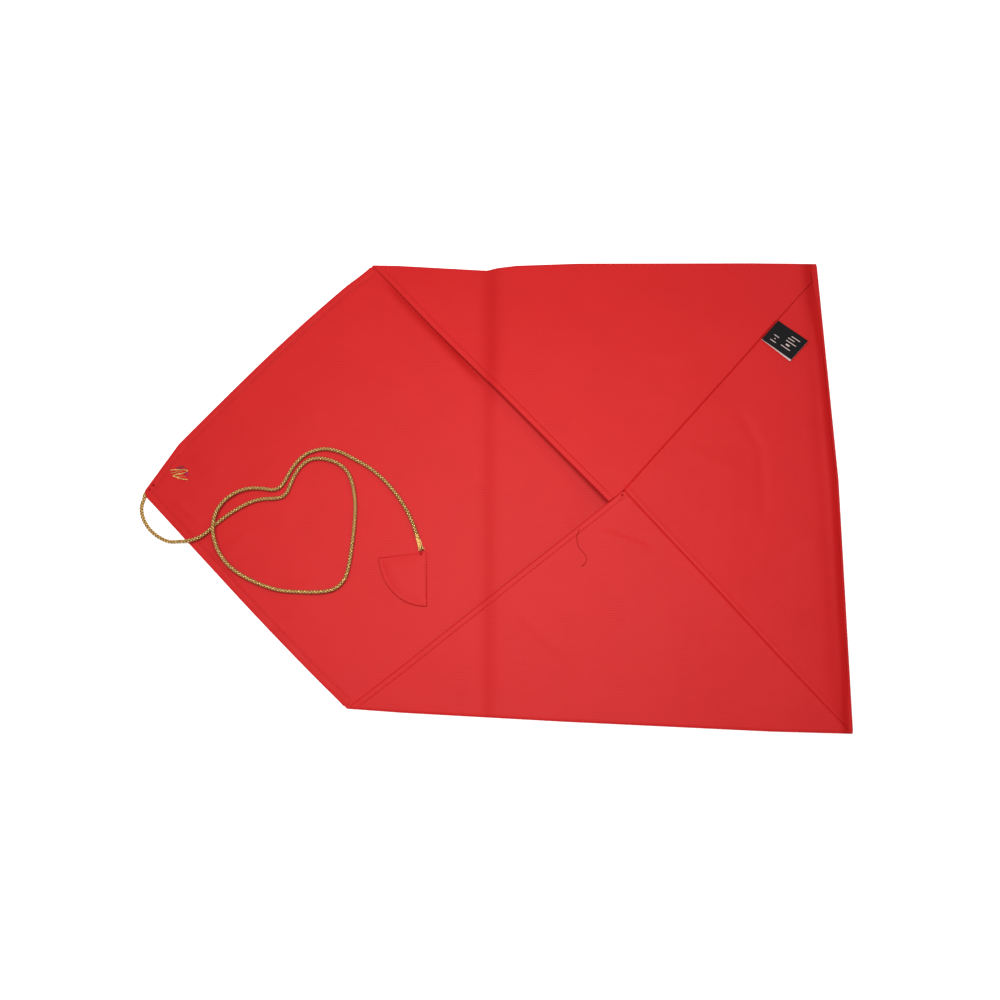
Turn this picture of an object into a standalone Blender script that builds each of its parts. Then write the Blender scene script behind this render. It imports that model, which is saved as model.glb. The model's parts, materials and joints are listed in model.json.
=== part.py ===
"""Square cloth wrap for a book: three corners folded in and sewn as a pocket, the fourth a closing
flap with a gold tie cord that ends in a quarter-round cloth tab.

Units are metres, +Z is up. The origin is on the resting plane, under the middle of the cloth.
X runs from the flap's tip to the side fold, Y from the lower fold to the upper fold.
"""
import math

import bmesh
import bpy
from mathutils import Matrix, Vector

# Overall cloth, laid flat
FLAP_LENGTH = 0.1648        # fold line to flap tip
POCKET_LENGTH = 0.3436      # fold line to side fold
POCKET_WIDTH = 0.3402       # lower fold to upper fold, along the fold line
MOUTH_DEPTH = 0.1929        # fold line to the point where the mouth's two edges meet

# Hand-sewn skew: how far each corner sits from a true square
LOWER_DROP = 0.0105         # right end of the lower fold below its left end
UPPER_DROP = 0.0072         # right end of the upper fold below its left end
TIP_DROP = 0.0139           # flap tip below the middle of the fold line
MOUTH_DROP = 0.0147         # mouth point below the middle of the fold line
UPPER_CORNER_INSET = 0.0061 # upper right corner inside the side fold
LOWER_CORNER_INSET = 0.0008
FLAP_SHOULDER = (0.0234, 0.0380)  # bend in the flap's upper edge, from its tip

# Cloth and gaps
CLOTH = 0.0005
GAP = 0.0003
FOLD_LIFT = 0.0017          # underside of the front panels along the folds
MOUTH_LIFT = 0.0093         # underside of the front panels where the mouth's edges meet

# Hems, seams and threads
MOUTH_HEM_WIDTH = 0.0048
FLAP_HEM_WIDTH = 0.0062
SEAM_ALLOWANCE = 0.0080
SEAM_END_CLEARANCE = 0.0160
STITCH_MARGIN = 0.0008      # stitch line inside the hem's inner edge
THREAD = 0.0004
SIDE_ROLL_WIDTH = 0.0045
SIDE_ROLL_HEIGHT = 0.0014
SIDE_ROLL_ROUNDING = 0.0004
UPPER_ROLL_LENGTH = 0.0155  # how far the roll's wide end runs down from the upper corner

# Joints
FLAP_HINGE_HEIGHT = 0.0045  # the cloth turns over with the cord inside it
LABEL_HINGE_HEIGHT = 0.0020 # over the side panel's underside, so the leaves clear their stitching

# Label: a folded ribbon sewn into the upper seam
LABEL_SEAM_SHARE = 0.765    # place of the label's middle along the seam, from the mouth
LABEL_WIDTH = 0.0194
LABEL_LENGTH = 0.0253
LABEL_SKEW = math.radians(2.0)
RIBBON = 0.0003

# Cord and its end
CORD_DIAMETER = 0.0031
CORD_SIDES_RESOLUTION = 2
CORD_STEP = 0.0080
FLARED_LENGTH = 0.0210
FLARED_DIAMETER = 0.0042
FLARED_HEADING = math.radians(-69.7)
FLARED_SEGMENTS = 12
NOSE_RINGS = 4

# Tab: a quarter disc of folded cloth on the cord's end
TAB_RADIUS = 0.0370
TAB_HEADING = math.radians(186.8)  # the straight edge that the cord meets, from the corner
TAB_SWEEP = math.radians(86.0)
TAB_ARC_STEPS = 14
TAB_CORNER_SHIFT = 0.0030   # the cord meets the tab's edge this far from its corner
TACK_LENGTH = 0.0050
TACK_WIDTH = 0.0020

# The cord's route from the flap's tip to the tab, measured from the middle of the fold line.
# It stays as chosen.
CORD_ROUTE = [
    (-0.1631, -0.0177, 0.0016), (-0.1643, -0.0231, 0.00155), (-0.1641, -0.0277, 0.00155),
    (-0.1619, -0.0339, 0.00155), (-0.1569, -0.0411, 0.00155), (-0.1493, -0.0472, 0.00155),
    (-0.1404, -0.0510, 0.002), (-0.1314, -0.0513, 0.0035), (-0.1251, -0.0510, 0.0042),
    (-0.1182, -0.0489, 0.004), (-0.1126, -0.0450, 0.0031), (-0.1075, -0.0397, 0.0025),
    (-0.1015, -0.0344, 0.00235), (-0.0923, -0.0276, 0.00235), (-0.0814, -0.0215, 0.00235),
    (-0.0725, -0.0190, 0.00235), (-0.0635, -0.0185, 0.00235), (-0.0578, -0.0174, 0.00235),
    (-0.0539, -0.0136, 0.00235), (-0.0518, -0.0077, 0.00235), (-0.0490, -0.0005, 0.00235),
    (-0.0449, 0.0061, 0.00235), (-0.0397, 0.0105, 0.00235), (-0.0339, 0.0122, 0.00235),
    (-0.0263, 0.0116, 0.00235), (-0.0171, 0.0083, 0.00235), (-0.0095, 0.0017, 0.00235),
    (-0.0048, -0.0090, 0.00235), (-0.0022, -0.0235, 0.00235), (-0.0020, -0.0385, 0.00235),
    (-0.0028, -0.0534, 0.00235), (-0.0043, -0.0689, 0.00235), (-0.0072, -0.0791, 0.00235),
    (-0.0136, -0.0855, 0.00235), (-0.0241, -0.0879, 0.00235), (-0.0388, -0.0880, 0.00235),
    (-0.0536, -0.0869, 0.00235), (-0.0672, -0.0831, 0.00235), (-0.0803, -0.0774, 0.0026),
    (-0.0918, -0.0699, 0.0036), (-0.1001, -0.0602, 0.0049), (-0.1045, -0.0506, 0.0057),
    (-0.1066, -0.0409, 0.0059), (-0.1054, -0.0299, 0.0055), (-0.1005, -0.0208, 0.0044),
    (-0.0924, -0.0140, 0.0032), (-0.0830, -0.0108, 0.0025), (-0.0732, -0.0108, 0.00235),
    (-0.0654, -0.0118, 0.00235), (-0.0600, -0.0102, 0.00235), (-0.0565, -0.0055, 0.00235),
    (-0.0530, 0.0018, 0.00235), (-0.0481, 0.0096, 0.00235), (-0.0416, 0.0156, 0.00235),
    (-0.0337, 0.0188, 0.00235), (-0.0254, 0.0195, 0.00235), (-0.0153, 0.0169, 0.00235),
    (-0.0044, 0.0113, 0.00235), (0.0072, 0.0045, 0.00235), (0.0189, -0.0053, 0.00235),
    (0.0292, -0.0171, 0.00245), (0.0364, -0.0281, 0.0027), (0.0413, -0.0378, 0.0029),
]

# Loose thread ends, laid by hand: the first measured from the mouth point, the second from the tip
THREAD_TAIL_ROUTE = [(-0.0345, -0.0286), (-0.0352, -0.0346), (-0.0323, -0.0406), (-0.0293, -0.0461),
                     (-0.0295, -0.0511), (-0.0323, -0.0546)]
TUFT_ROUTE = [(0.0190, 0.0179), (0.0252, 0.0183), (0.0308, 0.0181), (0.0326, 0.0171),
              (0.0306, 0.0159), (0.0252, 0.0147), (0.0222, 0.0137), (0.0246, 0.0123),
              (0.0292, 0.0111), (0.0336, 0.0103)]
TUFT_DIAMETER = 0.0008
SMOOTH_STEPS = 12

# Colours (linear RGB), roughness and metallic value
FINISHES = {
    "red_cloth": ((0.62, 0.030, 0.028), 0.55, 0.0),
    "red_thread": ((0.50, 0.020, 0.020), 0.60, 0.0),
    "gold_cord": ((0.55, 0.34, 0.08), 0.38, 0.6),
    "black_ribbon": ((0.012, 0.011, 0.012), 0.35, 0.0),
    "pale_ribbon": ((0.70, 0.42, 0.40), 0.50, 0.0),
}

# Corners in plan, worked out from the sizes above
HALF_LENGTH = (FLAP_LENGTH + POCKET_LENGTH) / 2
HALF_WIDTH = (POCKET_WIDTH + LOWER_DROP) / 2
FOLD_X = FLAP_LENGTH - HALF_LENGTH
FOLD_MIDDLE_Y = HALF_WIDTH - POCKET_WIDTH / 2
FOLD_MIDDLE = Vector((FOLD_X, FOLD_MIDDLE_Y, 0.0))
UPPER_LEFT = Vector((FOLD_X, HALF_WIDTH))
LOWER_LEFT = Vector((FOLD_X, HALF_WIDTH - POCKET_WIDTH))
TIP = Vector((-HALF_LENGTH, FOLD_MIDDLE_Y - TIP_DROP))
SHOULDER = TIP + Vector(FLAP_SHOULDER)
UPPER_RIGHT = Vector((HALF_LENGTH - UPPER_CORNER_INSET, HALF_WIDTH - UPPER_DROP))
SIDE_MIDDLE = Vector((HALF_LENGTH, 0.0))
LOWER_RIGHT = Vector((HALF_LENGTH - LOWER_CORNER_INSET, -HALF_WIDTH))
MOUTH = Vector((FOLD_X + MOUTH_DEPTH, FOLD_MIDDLE_Y - MOUTH_DROP))
ROLL_UPPER = UPPER_RIGHT - Vector((SIDE_ROLL_WIDTH * 2, 0.0))
ROLL_NECK = UPPER_RIGHT - Vector((SIDE_ROLL_WIDTH, UPPER_ROLL_LENGTH))
ROLL_LOWER = LOWER_RIGHT + Vector((-SIDE_ROLL_WIDTH, SIDE_ROLL_WIDTH))
MOUTH_LAP = 0.055           # share of the lower mouth edge that the lower panel laps over
MOUTH_CORNER = MOUTH.lerp(LOWER_LEFT, MOUTH_LAP)


def clear_scene():
    for old in list(bpy.data.objects):
        bpy.data.objects.remove(old, do_unlink=True)


def make_material(name):
    colour, roughness, metallic = FINISHES[name]
    material = bpy.data.materials.new(name)
    material.use_nodes = True
    shader = material.node_tree.nodes["Principled BSDF"]
    shader.inputs["Base Color"].default_value = (*colour, 1.0)
    shader.inputs["Roughness"].default_value = roughness
    shader.inputs["Metallic"].default_value = metallic
    return material


def add_empty(name, location, parent=None):
    empty = bpy.data.objects.new(name, None)
    empty.location = location
    empty.parent = parent
    bpy.context.scene.collection.objects.link(empty)
    return empty


def add_object(name, data, pivot, material):
    """Links the data as an object that hangs from its body's pivot."""
    data.materials.append(material)
    piece = bpy.data.objects.new(name, data)
    piece.parent = pivot
    bpy.context.scene.collection.objects.link(piece)
    return piece


def level(height):
    """A flat surface at one height."""
    return lambda point: height


def slope(first, second, third):
    """The plane through three points, as height over a point in plan."""
    normal = (second - first).cross(third - first)

    def height(point):
        run = (point.x - first.x) * normal.x + (point.y - first.y) * normal.y
        return first.z - run / normal.z
    return height


def lifted(surface, rise):
    """The same surface, moved up by rise."""
    return lambda point: surface(point) + rise


def inset(outline, margin):
    """Moves each side of a convex outline, given anticlockwise, in by margin."""
    sides = []
    for start, end in zip(outline, outline[1:] + outline[:1]):
        along = (end - start).normalized()
        sides.append((start + Vector((-along.y, along.x)) * margin, along))
    corners = []
    for (point_a, along_a), (point_b, along_b) in zip(sides[-1:] + sides[:-1], sides):
        cross = along_a.x * along_b.y - along_a.y * along_b.x
        reach = ((point_b.x - point_a.x) * along_b.y - (point_b.y - point_a.y) * along_b.x) / cross
        corners.append(point_a + along_a * reach)
    return corners


def band(start, end, near, far, skip_start, skip_end):
    """A strip to the left of the line from start to end, between two distances from it."""
    along = (end - start).normalized()
    inward = Vector((-along.y, along.x))
    first = start + along * skip_start
    last = end - along * skip_end
    return [first + inward * near, last + inward * near, last + inward * far, first + inward * far]


def patch(corner, along, length, width):
    """A small oblong to the left of a line that starts at a corner."""
    inward = Vector((-along.y, along.x))
    far = corner + along * length
    return [corner, far, far + inward * width, corner + inward * width]


def heading_of(angle):
    return Vector((math.cos(angle), math.sin(angle)))


def add_sheet(name, outline, underside, pivot, material, thickness=CLOTH):
    """One flat leaf: an outline laid on a surface, and given its thickness upwards."""
    mesh = bpy.data.meshes.new(name)
    shape = bmesh.new()
    origin = pivot.matrix_world.translation
    corners = [Vector((p.x, p.y, underside(p))) - origin for p in outline]
    shape.faces.new([shape.verts.new(corner) for corner in corners])
    shape.to_mesh(mesh)
    shape.free()
    piece = add_object(name, mesh, pivot, material)
    solid = piece.modifiers.new("Thickness", "SOLIDIFY")
    solid.thickness = thickness
    solid.offset = 1.0
    return piece


def smooth_route(points):
    """Catmull-Rom curve through the points."""
    ends = [points[0] * 2 - points[1], *points, points[-1] * 2 - points[-2]]
    route = []
    for before, start, end, after in zip(ends, ends[1:], ends[2:], ends[3:]):
        for step in range(SMOOTH_STEPS):
            t = step / SMOOTH_STEPS
            pull = (end - before) * t
            bend = (before * 2 - start * 5 + end * 4 - after) * t ** 2
            twist = (start * 3 - before - end * 3 + after) * t ** 3
            route.append((start * 2 + pull + bend + twist) / 2)
    route.append(points[-1].copy())
    return route


def distances(route):
    """Distance along the route at each of its points."""
    run = [0.0]
    for start, end in zip(route, route[1:]):
        run.append(run[-1] + (end - start).length)
    return run


def stretch_of(route, first, last, step):
    """Evenly spaced points on the part of the route between two distances along it."""
    run = distances(route)
    count = max(1, round((last - first) / step))
    points = []
    for index in range(count + 1):
        target = first + (last - first) * index / count
        place = next(i for i in range(1, len(run)) if run[i] >= target - 1e-9)
        share = (target - run[place - 1]) / (run[place] - run[place - 1])
        points.append(route[place - 1].lerp(route[place], share))
    return points


def add_tube(name, points, diameter, resolution, pivot, material):
    """A round cord or thread through the points, with closed ends."""
    curve = bpy.data.curves.new(name, "CURVE")
    curve.dimensions = "3D"
    curve.resolution_u = 1
    curve.render_resolution_u = 0
    curve.bevel_depth = diameter / 2
    curve.bevel_resolution = resolution
    curve.use_fill_caps = True
    origin = pivot.matrix_world.translation
    spline = curve.splines.new("POLY")
    spline.points.add(len(points) - 1)
    for slot, point in zip(spline.points, points):
        slot.co = (*(point - origin), 1.0)
    return add_object(name, curve, pivot, material)


def build_pocket(pivot, cloth, thread):
    """Back panel, the three front panels, their hems, seams and stitch lines."""
    back = [UPPER_LEFT, LOWER_LEFT, LOWER_RIGHT, SIDE_MIDDLE, UPPER_RIGHT]
    add_sheet("back_panel", inset(back, GAP / 2), level(0.0), pivot, cloth)

    peak = MOUTH.to_3d() + Vector((0, 0, MOUTH_LIFT))
    fold = Vector((0, 0, FOLD_LIFT))
    upper = slope(UPPER_LEFT.to_3d() + fold, ROLL_UPPER.to_3d() + fold, peak)
    lower = slope(LOWER_LEFT.to_3d() + fold, LOWER_RIGHT.to_3d() + fold, peak)
    side = slope(ROLL_NECK.to_3d() + fold, ROLL_LOWER.to_3d() + fold, peak)
    upper_outline = [UPPER_LEFT, MOUTH_CORNER, MOUTH, ROLL_NECK, ROLL_UPPER]
    lower_outline = [LOWER_LEFT, LOWER_RIGHT, ROLL_LOWER, MOUTH]
    side_outline = [MOUTH, ROLL_LOWER, ROLL_NECK]
    add_sheet("upper_front_panel", inset(upper_outline, GAP / 2), upper, pivot, cloth)
    add_sheet("lower_front_panel", inset(lower_outline, GAP / 2), lower, pivot, cloth)
    add_sheet("side_front_panel", inset(side_outline, GAP / 2), side, pivot, cloth)

    roll_outline = [UPPER_RIGHT, ROLL_UPPER, ROLL_NECK, ROLL_LOWER, LOWER_RIGHT, SIDE_MIDDLE]
    roll = add_sheet("side_fold_roll", inset(roll_outline, GAP / 2), level(CLOTH + GAP), pivot,
                     cloth, SIDE_ROLL_HEIGHT)
    rounding = roll.modifiers.new("Rounding", "BEVEL")
    rounding.width = SIDE_ROLL_ROUNDING
    rounding.segments = 2
    rounding.limit_method = "ANGLE"

    under = -(CLOTH + GAP)
    over = CLOTH + GAP
    hem_far = MOUTH_HEM_WIDTH
    line_near = MOUTH_HEM_WIDTH - STITCH_MARGIN - THREAD
    line_far = line_near + THREAD
    mouths = [("upper", UPPER_LEFT, MOUTH_CORNER, upper), ("lower", MOUTH, LOWER_LEFT, lower)]
    for name, start, end, panel in mouths:
        hem = band(start, end, GAP, hem_far, MOUTH_HEM_WIDTH, MOUTH_HEM_WIDTH)
        add_sheet(f"{name}_mouth_hem", hem, lifted(panel, under), pivot, cloth)
        row = band(start, end, line_near, line_far, MOUTH_HEM_WIDTH * 2, MOUTH_HEM_WIDTH)
        add_sheet(f"{name}_mouth_stitching", row, lifted(panel, over), pivot, thread, THREAD)

    below_hem = under - GAP - THREAD
    seams = [("upper", ROLL_NECK, MOUTH), ("lower", MOUTH, ROLL_LOWER)]
    for name, start, end in seams:
        turned = band(start, end, GAP, SEAM_ALLOWANCE, SEAM_END_CLEARANCE, SEAM_END_CLEARANCE)
        add_sheet(f"{name}_seam_allowance", turned, lifted(side, under), pivot, cloth)
        row = band(start, end, STITCH_MARGIN, STITCH_MARGIN + THREAD, SEAM_END_CLEARANCE * 2,
                   SEAM_END_CLEARANCE * 2)
        add_sheet(f"{name}_seam_stitching", row, lifted(side, below_hem), pivot, thread, THREAD)

    along = (LOWER_LEFT - MOUTH).normalized()
    tack = patch(MOUTH + along * TACK_WIDTH * 2, along, TACK_LENGTH, TACK_WIDTH)
    add_sheet("mouth_corner_tack", tack, lifted(lower, over), pivot, thread, THREAD)

    tail = [(MOUTH + Vector(p)).to_3d() for p in THREAD_TAIL_ROUTE]
    for point in tail:
        point.z = lower(point) + CLOTH + GAP + THREAD * 2
    add_tube("loose_thread_tail", smooth_route(tail)[::SMOOTH_STEPS // 3], THREAD, 1, pivot, thread)
    return upper, side


def build_flap(pivot, cloth, thread, gold):
    """The closing flap with its two hems, and what holds the cord at its tip."""
    outline = [UPPER_LEFT, SHOULDER, TIP, LOWER_LEFT]
    add_sheet("closing_flap", inset(outline, GAP / 2), level(0.0), pivot, cloth)
    on_flap = level(CLOTH + GAP)
    on_hem = level((CLOTH + GAP) * 2)
    line_near = FLAP_HEM_WIDTH - STITCH_MARGIN - THREAD
    line_far = line_near + THREAD
    edges = [("lower", TIP, LOWER_LEFT, FLAP_HEM_WIDTH, FLAP_HEM_WIDTH),
             ("upper", UPPER_LEFT, SHOULDER, FLAP_HEM_WIDTH, 0.0)]
    for name, start, end, skip_start, skip_end in edges:
        hem = band(start, end, GAP, FLAP_HEM_WIDTH, skip_start, skip_end)
        row = band(start, end, line_near, line_far, skip_start * 2, skip_end * 2)
        if name == "upper":
            bend = inset(outline, GAP)[1], inset(outline, FLAP_HEM_WIDTH)[1]
            tip_end = band(SHOULDER, TIP, GAP, FLAP_HEM_WIDTH, 0.0, FLAP_HEM_WIDTH)
            hem = [hem[0], bend[0], tip_end[1], tip_end[2], bend[1], hem[3]]
            row_bend = inset(outline, line_near)[1], inset(outline, line_far)[1]
            row_tip = band(SHOULDER, TIP, line_near, line_far, 0.0, FLAP_HEM_WIDTH * 1.5)
            row = [row[0], row_bend[0], row_tip[1], row_tip[2], row_bend[1], row[3]]
        add_sheet(f"flap_{name}_hem", hem, on_flap, pivot, cloth)
        add_sheet(f"flap_{name}_stitching", row, on_hem, pivot, thread, THREAD)

    along = (TIP - SHOULDER).normalized()
    tack_start = TIP - along * (FLAP_HEM_WIDTH + TACK_LENGTH) + Vector((-along.y, along.x)) * GAP
    tack = patch(tack_start, along, TACK_LENGTH, TACK_WIDTH)
    add_sheet("cord_anchor_tack", tack, on_hem, pivot, thread, THREAD)

    height = (CLOTH + GAP) * 2 + TUFT_DIAMETER / 2
    tuft = [(TIP + Vector(p)).to_3d() + Vector((0, 0, height)) for p in TUFT_ROUTE]
    add_tube("cord_end_tuft", smooth_route(tuft)[::SMOOTH_STEPS // 3], TUFT_DIAMETER, 1, pivot, gold)


def build_label(pivot, seam_point, along, upper, side, ribbon, pale, thread, pocket):
    """Two leaves of ribbon that hang from the seam, over the side panel."""
    across = Vector((along.y, -along.x))
    skewed = Matrix.Rotation(LABEL_SKEW, 2) @ across
    half = along * (LABEL_WIDTH / 2)
    root = seam_point + across * GAP
    far = root + skewed * LABEL_LENGTH
    outline = [root - half, far - half, far + half, root + half]
    back = lifted(side, CLOTH + GAP)
    front = lifted(side, CLOTH + GAP * 2 + RIBBON)
    add_sheet("label_back_leaf", outline, back, pivot, pale, RIBBON)
    add_sheet("label_front_leaf", outline, front, pivot, ribbon, RIBBON)
    row = [seam_point - half - across * (GAP + THREAD), seam_point - half - across * GAP,
           seam_point + half - across * GAP, seam_point + half - across * (GAP + THREAD)]
    add_sheet("label_stitching", row, lifted(upper, CLOTH + GAP), pocket, thread, THREAD)


def build_cord(flap_pivot, pocket_pivot, gold):
    """The free cord, parted where it crosses the fold line."""
    route = smooth_route([FOLD_MIDDLE + Vector(point) for point in CORD_ROUTE])
    run = distances(route)
    crossing = max(i for i in range(len(route)) if route[i].x <= FOLD_X)
    parting = run[crossing] + CORD_DIAMETER / 2
    on_flap = stretch_of(route, 0.0, parting - GAP, CORD_STEP)
    end = run[-1] - CORD_DIAMETER / 2 - GAP
    over_pocket = stretch_of(route, parting, end, CORD_STEP)
    add_tube("cord_on_flap", on_flap, CORD_DIAMETER, CORD_SIDES_RESOLUTION, flap_pivot, gold)
    add_tube("cord_over_pocket", over_pocket, CORD_DIAMETER, CORD_SIDES_RESOLUTION, pocket_pivot,
             gold)


def build_tab(pivot, cloth, thread, gold):
    """The cord's flared end and the folded tab, which swivel together on the cord."""
    radius = CORD_DIAMETER / 2
    nose = [math.pi / 2 * ring / NOSE_RINGS for ring in range(NOSE_RINGS + 1)]
    profile = [(-radius * math.cos(angle), radius * math.sin(angle)) for angle in nose]
    profile.append((FLARED_LENGTH, FLARED_DIAMETER / 2))
    profile.append((FLARED_LENGTH, 0.0))
    mesh = bpy.data.meshes.new("cord_flared_end")
    shape = bmesh.new()
    chain = [shape.verts.new((0.0, height, along)) for along, height in profile]
    edges = [shape.edges.new(pair) for pair in zip(chain, chain[1:])]
    bmesh.ops.spin(shape, geom=chain + edges, axis=(0, 0, 1), cent=(0, 0, 0),
                   steps=FLARED_SEGMENTS, angle=math.tau, use_merge=True)
    bmesh.ops.remove_doubles(shape, verts=shape.verts, dist=GAP / 100)
    bmesh.ops.recalc_face_normals(shape, faces=shape.faces)
    shape.to_mesh(mesh)
    shape.free()
    mesh.shade_smooth()
    mesh.set_sharp_from_angle(angle=math.radians(40))
    flared = add_object("cord_flared_end", mesh, pivot, gold)
    ahead = heading_of(FLARED_HEADING)
    flared.rotation_euler = ahead.to_3d().to_track_quat("Z", "Y").to_euler()

    edge = heading_of(TAB_HEADING)
    slant = TAB_HEADING + math.pi / 2 - FLARED_HEADING
    clearance = (GAP + FLARED_DIAMETER / 2 * abs(math.sin(slant))) / abs(math.cos(slant))
    meeting = pivot.matrix_world.translation.to_2d() + ahead * (FLARED_LENGTH + clearance)
    corner = meeting - edge * TAB_CORNER_SHIFT
    outline = [corner]
    for step in range(TAB_ARC_STEPS + 1):
        angle = TAB_HEADING + TAB_SWEEP * step / TAB_ARC_STEPS
        outline.append(corner + heading_of(angle) * TAB_RADIUS)
    leaf = CLOTH + GAP
    add_sheet("tab_back_leaf", outline, level(leaf), pivot, cloth)
    add_sheet("tab_front_leaf", outline, level(leaf * 2), pivot, cloth)
    inner = corner + edge * TACK_WIDTH + heading_of(TAB_HEADING + TAB_SWEEP / 2) * TACK_WIDTH
    tack = patch(inner, edge, TACK_LENGTH, TACK_WIDTH)
    add_sheet("tab_tack", tack, level(leaf * 3), pivot, thread, THREAD)


def main():
    clear_scene()
    finish = {name: make_material(name) for name in FINISHES}
    cloth, thread, gold = finish["red_cloth"], finish["red_thread"], finish["gold_cord"]

    pocket = add_empty("pocket", (0, 0, 0))
    flap = add_empty("flap_hinge", FOLD_MIDDLE + Vector((0, 0, FLAP_HINGE_HEIGHT)), pocket)
    seam_run = ROLL_NECK - MOUTH
    seam_point = MOUTH + seam_run * LABEL_SEAM_SHARE
    label = add_empty("label_hinge", seam_point.to_3d(), pocket)
    tab = add_empty("tab_swivel", FOLD_MIDDLE + Vector(CORD_ROUTE[-1]), pocket)
    bpy.context.view_layer.update()

    upper, side = build_pocket(pocket, cloth, thread)
    label.location.z = side(seam_point) + LABEL_HINGE_HEIGHT
    bpy.context.view_layer.update()
    build_flap(flap, cloth, thread, gold)
    build_label(label, seam_point, seam_run.normalized(), upper, side, finish["black_ribbon"],
                finish["pale_ribbon"], thread, pocket)
    build_cord(flap, pocket, gold)
    build_tab(tab, cloth, thread, gold)


main()
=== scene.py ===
"""Cloth book wrap: a red cloth envelope with a sewn pocket, a closing flap, a braided gold tie cord
that ends in a quarter-round cloth tab, and a small folded ribbon label.

Run as a script. Metres, +Z up. X runs from the flap's tip to the side fold, Y from the lower fold to
the upper fold. Cloth is built on a straight plan, given its height there, and then settled: the
plan's straight edges take the slight curves that hand-sewn cloth has.
"""
import json
import math

import bmesh
import bpy
import numpy as np
from bpy.props import FloatProperty, FloatVectorProperty, IntProperty, PointerProperty
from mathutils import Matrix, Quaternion, Vector


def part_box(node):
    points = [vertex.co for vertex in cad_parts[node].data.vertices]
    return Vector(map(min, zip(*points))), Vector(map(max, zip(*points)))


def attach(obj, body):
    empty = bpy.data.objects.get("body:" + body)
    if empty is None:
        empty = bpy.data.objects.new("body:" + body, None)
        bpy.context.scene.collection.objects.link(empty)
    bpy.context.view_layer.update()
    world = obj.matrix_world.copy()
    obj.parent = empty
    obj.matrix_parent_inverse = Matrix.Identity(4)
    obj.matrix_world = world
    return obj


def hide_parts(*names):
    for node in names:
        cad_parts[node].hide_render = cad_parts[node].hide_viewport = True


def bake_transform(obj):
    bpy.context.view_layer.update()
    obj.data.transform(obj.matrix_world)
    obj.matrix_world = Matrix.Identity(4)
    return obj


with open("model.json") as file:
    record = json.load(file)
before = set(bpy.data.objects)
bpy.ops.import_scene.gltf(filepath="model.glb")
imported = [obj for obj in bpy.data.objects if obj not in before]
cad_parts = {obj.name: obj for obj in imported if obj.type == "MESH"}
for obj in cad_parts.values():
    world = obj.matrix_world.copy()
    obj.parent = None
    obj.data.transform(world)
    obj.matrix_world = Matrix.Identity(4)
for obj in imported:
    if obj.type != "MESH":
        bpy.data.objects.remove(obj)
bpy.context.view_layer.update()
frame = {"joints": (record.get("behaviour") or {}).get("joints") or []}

bl_info = {
    "name": "Cloth Book Wrap",
    "version": (1, 0, 0),
    "blender": (4, 5, 0),
    "location": "View3D > Sidebar > Book Wrap",
    "description": "Builds a red cloth book wrap with its hems, stitches, gold tie cord, tab and label",
    "category": "Add Mesh",
}

MM = 0.001
TURN = 2 * math.pi

# Corners of the plan, read from the frame, with the hand-sewn skew
FLAP_LOW, FLAP_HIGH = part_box("closing_flap")
BACK_LOW, BACK_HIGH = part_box("back_panel")
ROLL_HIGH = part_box("side_fold_roll")[1]
TAB_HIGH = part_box("tab_front_leaf")[1]
FOLD = next(Vector(joint["pos_m"]) for joint in frame["joints"] if joint["name"] == "flap_fold")
FOLD_X = FOLD.x
UPPER_LEFT = np.array([FOLD_X, FLAP_HIGH.y])
LOWER_LEFT = np.array([FOLD_X, FLAP_LOW.y])
TIP = np.array([FLAP_LOW.x, FOLD.y - 0.0139])
SHOULDER = TIP + [0.0234, 0.0380]
UPPER_RIGHT = np.array([BACK_HIGH.x - 0.0061, ROLL_HIGH.y])
SIDE_MIDDLE = np.array([BACK_HIGH.x, 0.0])
LOWER_RIGHT = np.array([BACK_HIGH.x - 0.0008, BACK_LOW.y])
MOUTH = np.array([FOLD_X + 0.1929, FOLD.y - 0.0147])
MOUTH_CORNER = MOUTH + (LOWER_LEFT - MOUTH) * 0.055
ROLL_UPPER = UPPER_RIGHT - [0.0090, 0.0]
FLANGE_UPPER = UPPER_RIGHT - [0.0046, 0.0]
ROLL_NECK = UPPER_RIGHT - [0.0045, 0.0155]
ROLL_FOOT = LOWER_RIGHT + [-0.0045, 0.0045]
SEAM_UP = (MOUTH, ROLL_NECK)
SEAM_DOWN = (MOUTH, ROLL_FOOT)

# Heights: the table's top, and the middle of the cloth at the places named
TABLE_TOP = 0.0
GROUND = 0.00038
FOLD_EDGE = 0.00095         # where front and back meet in a fold
FRONT_AT_FOLD = 0.00195
FRONT_AT_MOUTH = 0.00955
ROLL_BASE = 0.00052         # what the roll along the side fold is built up from

# The crease across the pocket, and the soft wrinkles: start, end, half width, height
CREASE_TOP = np.array([0.0004, 0.1686])
CREASE_FOOT = np.array([0.0090, -0.1684])
WRINKLES = [
    ((0.0858, -0.0348), (0.1244, -0.0477), 0.0028, -0.00045),
    ((0.0890, -0.0400), (0.1200, -0.0530), 0.0040, 0.00050),
    ((0.0306, -0.0960), (0.0623, -0.1250), 0.0045, 0.00045),
    ((0.0450, -0.0900), (0.0760, -0.1180), 0.0040, -0.00030),
    ((0.1867, 0.0508), (0.2005, 0.0227), 0.0040, -0.00045),
    ((0.2005, 0.0227), (0.2020, -0.0260), 0.0045, -0.00040),
    ((0.1500, 0.0200), (0.1850, 0.0030), 0.0060, 0.00035),
    ((0.1350, 0.0900), (0.1750, 0.1250), 0.0090, 0.00045),
    ((0.1250, -0.1000), (0.1650, -0.1300), 0.0080, 0.00040),
]
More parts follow.
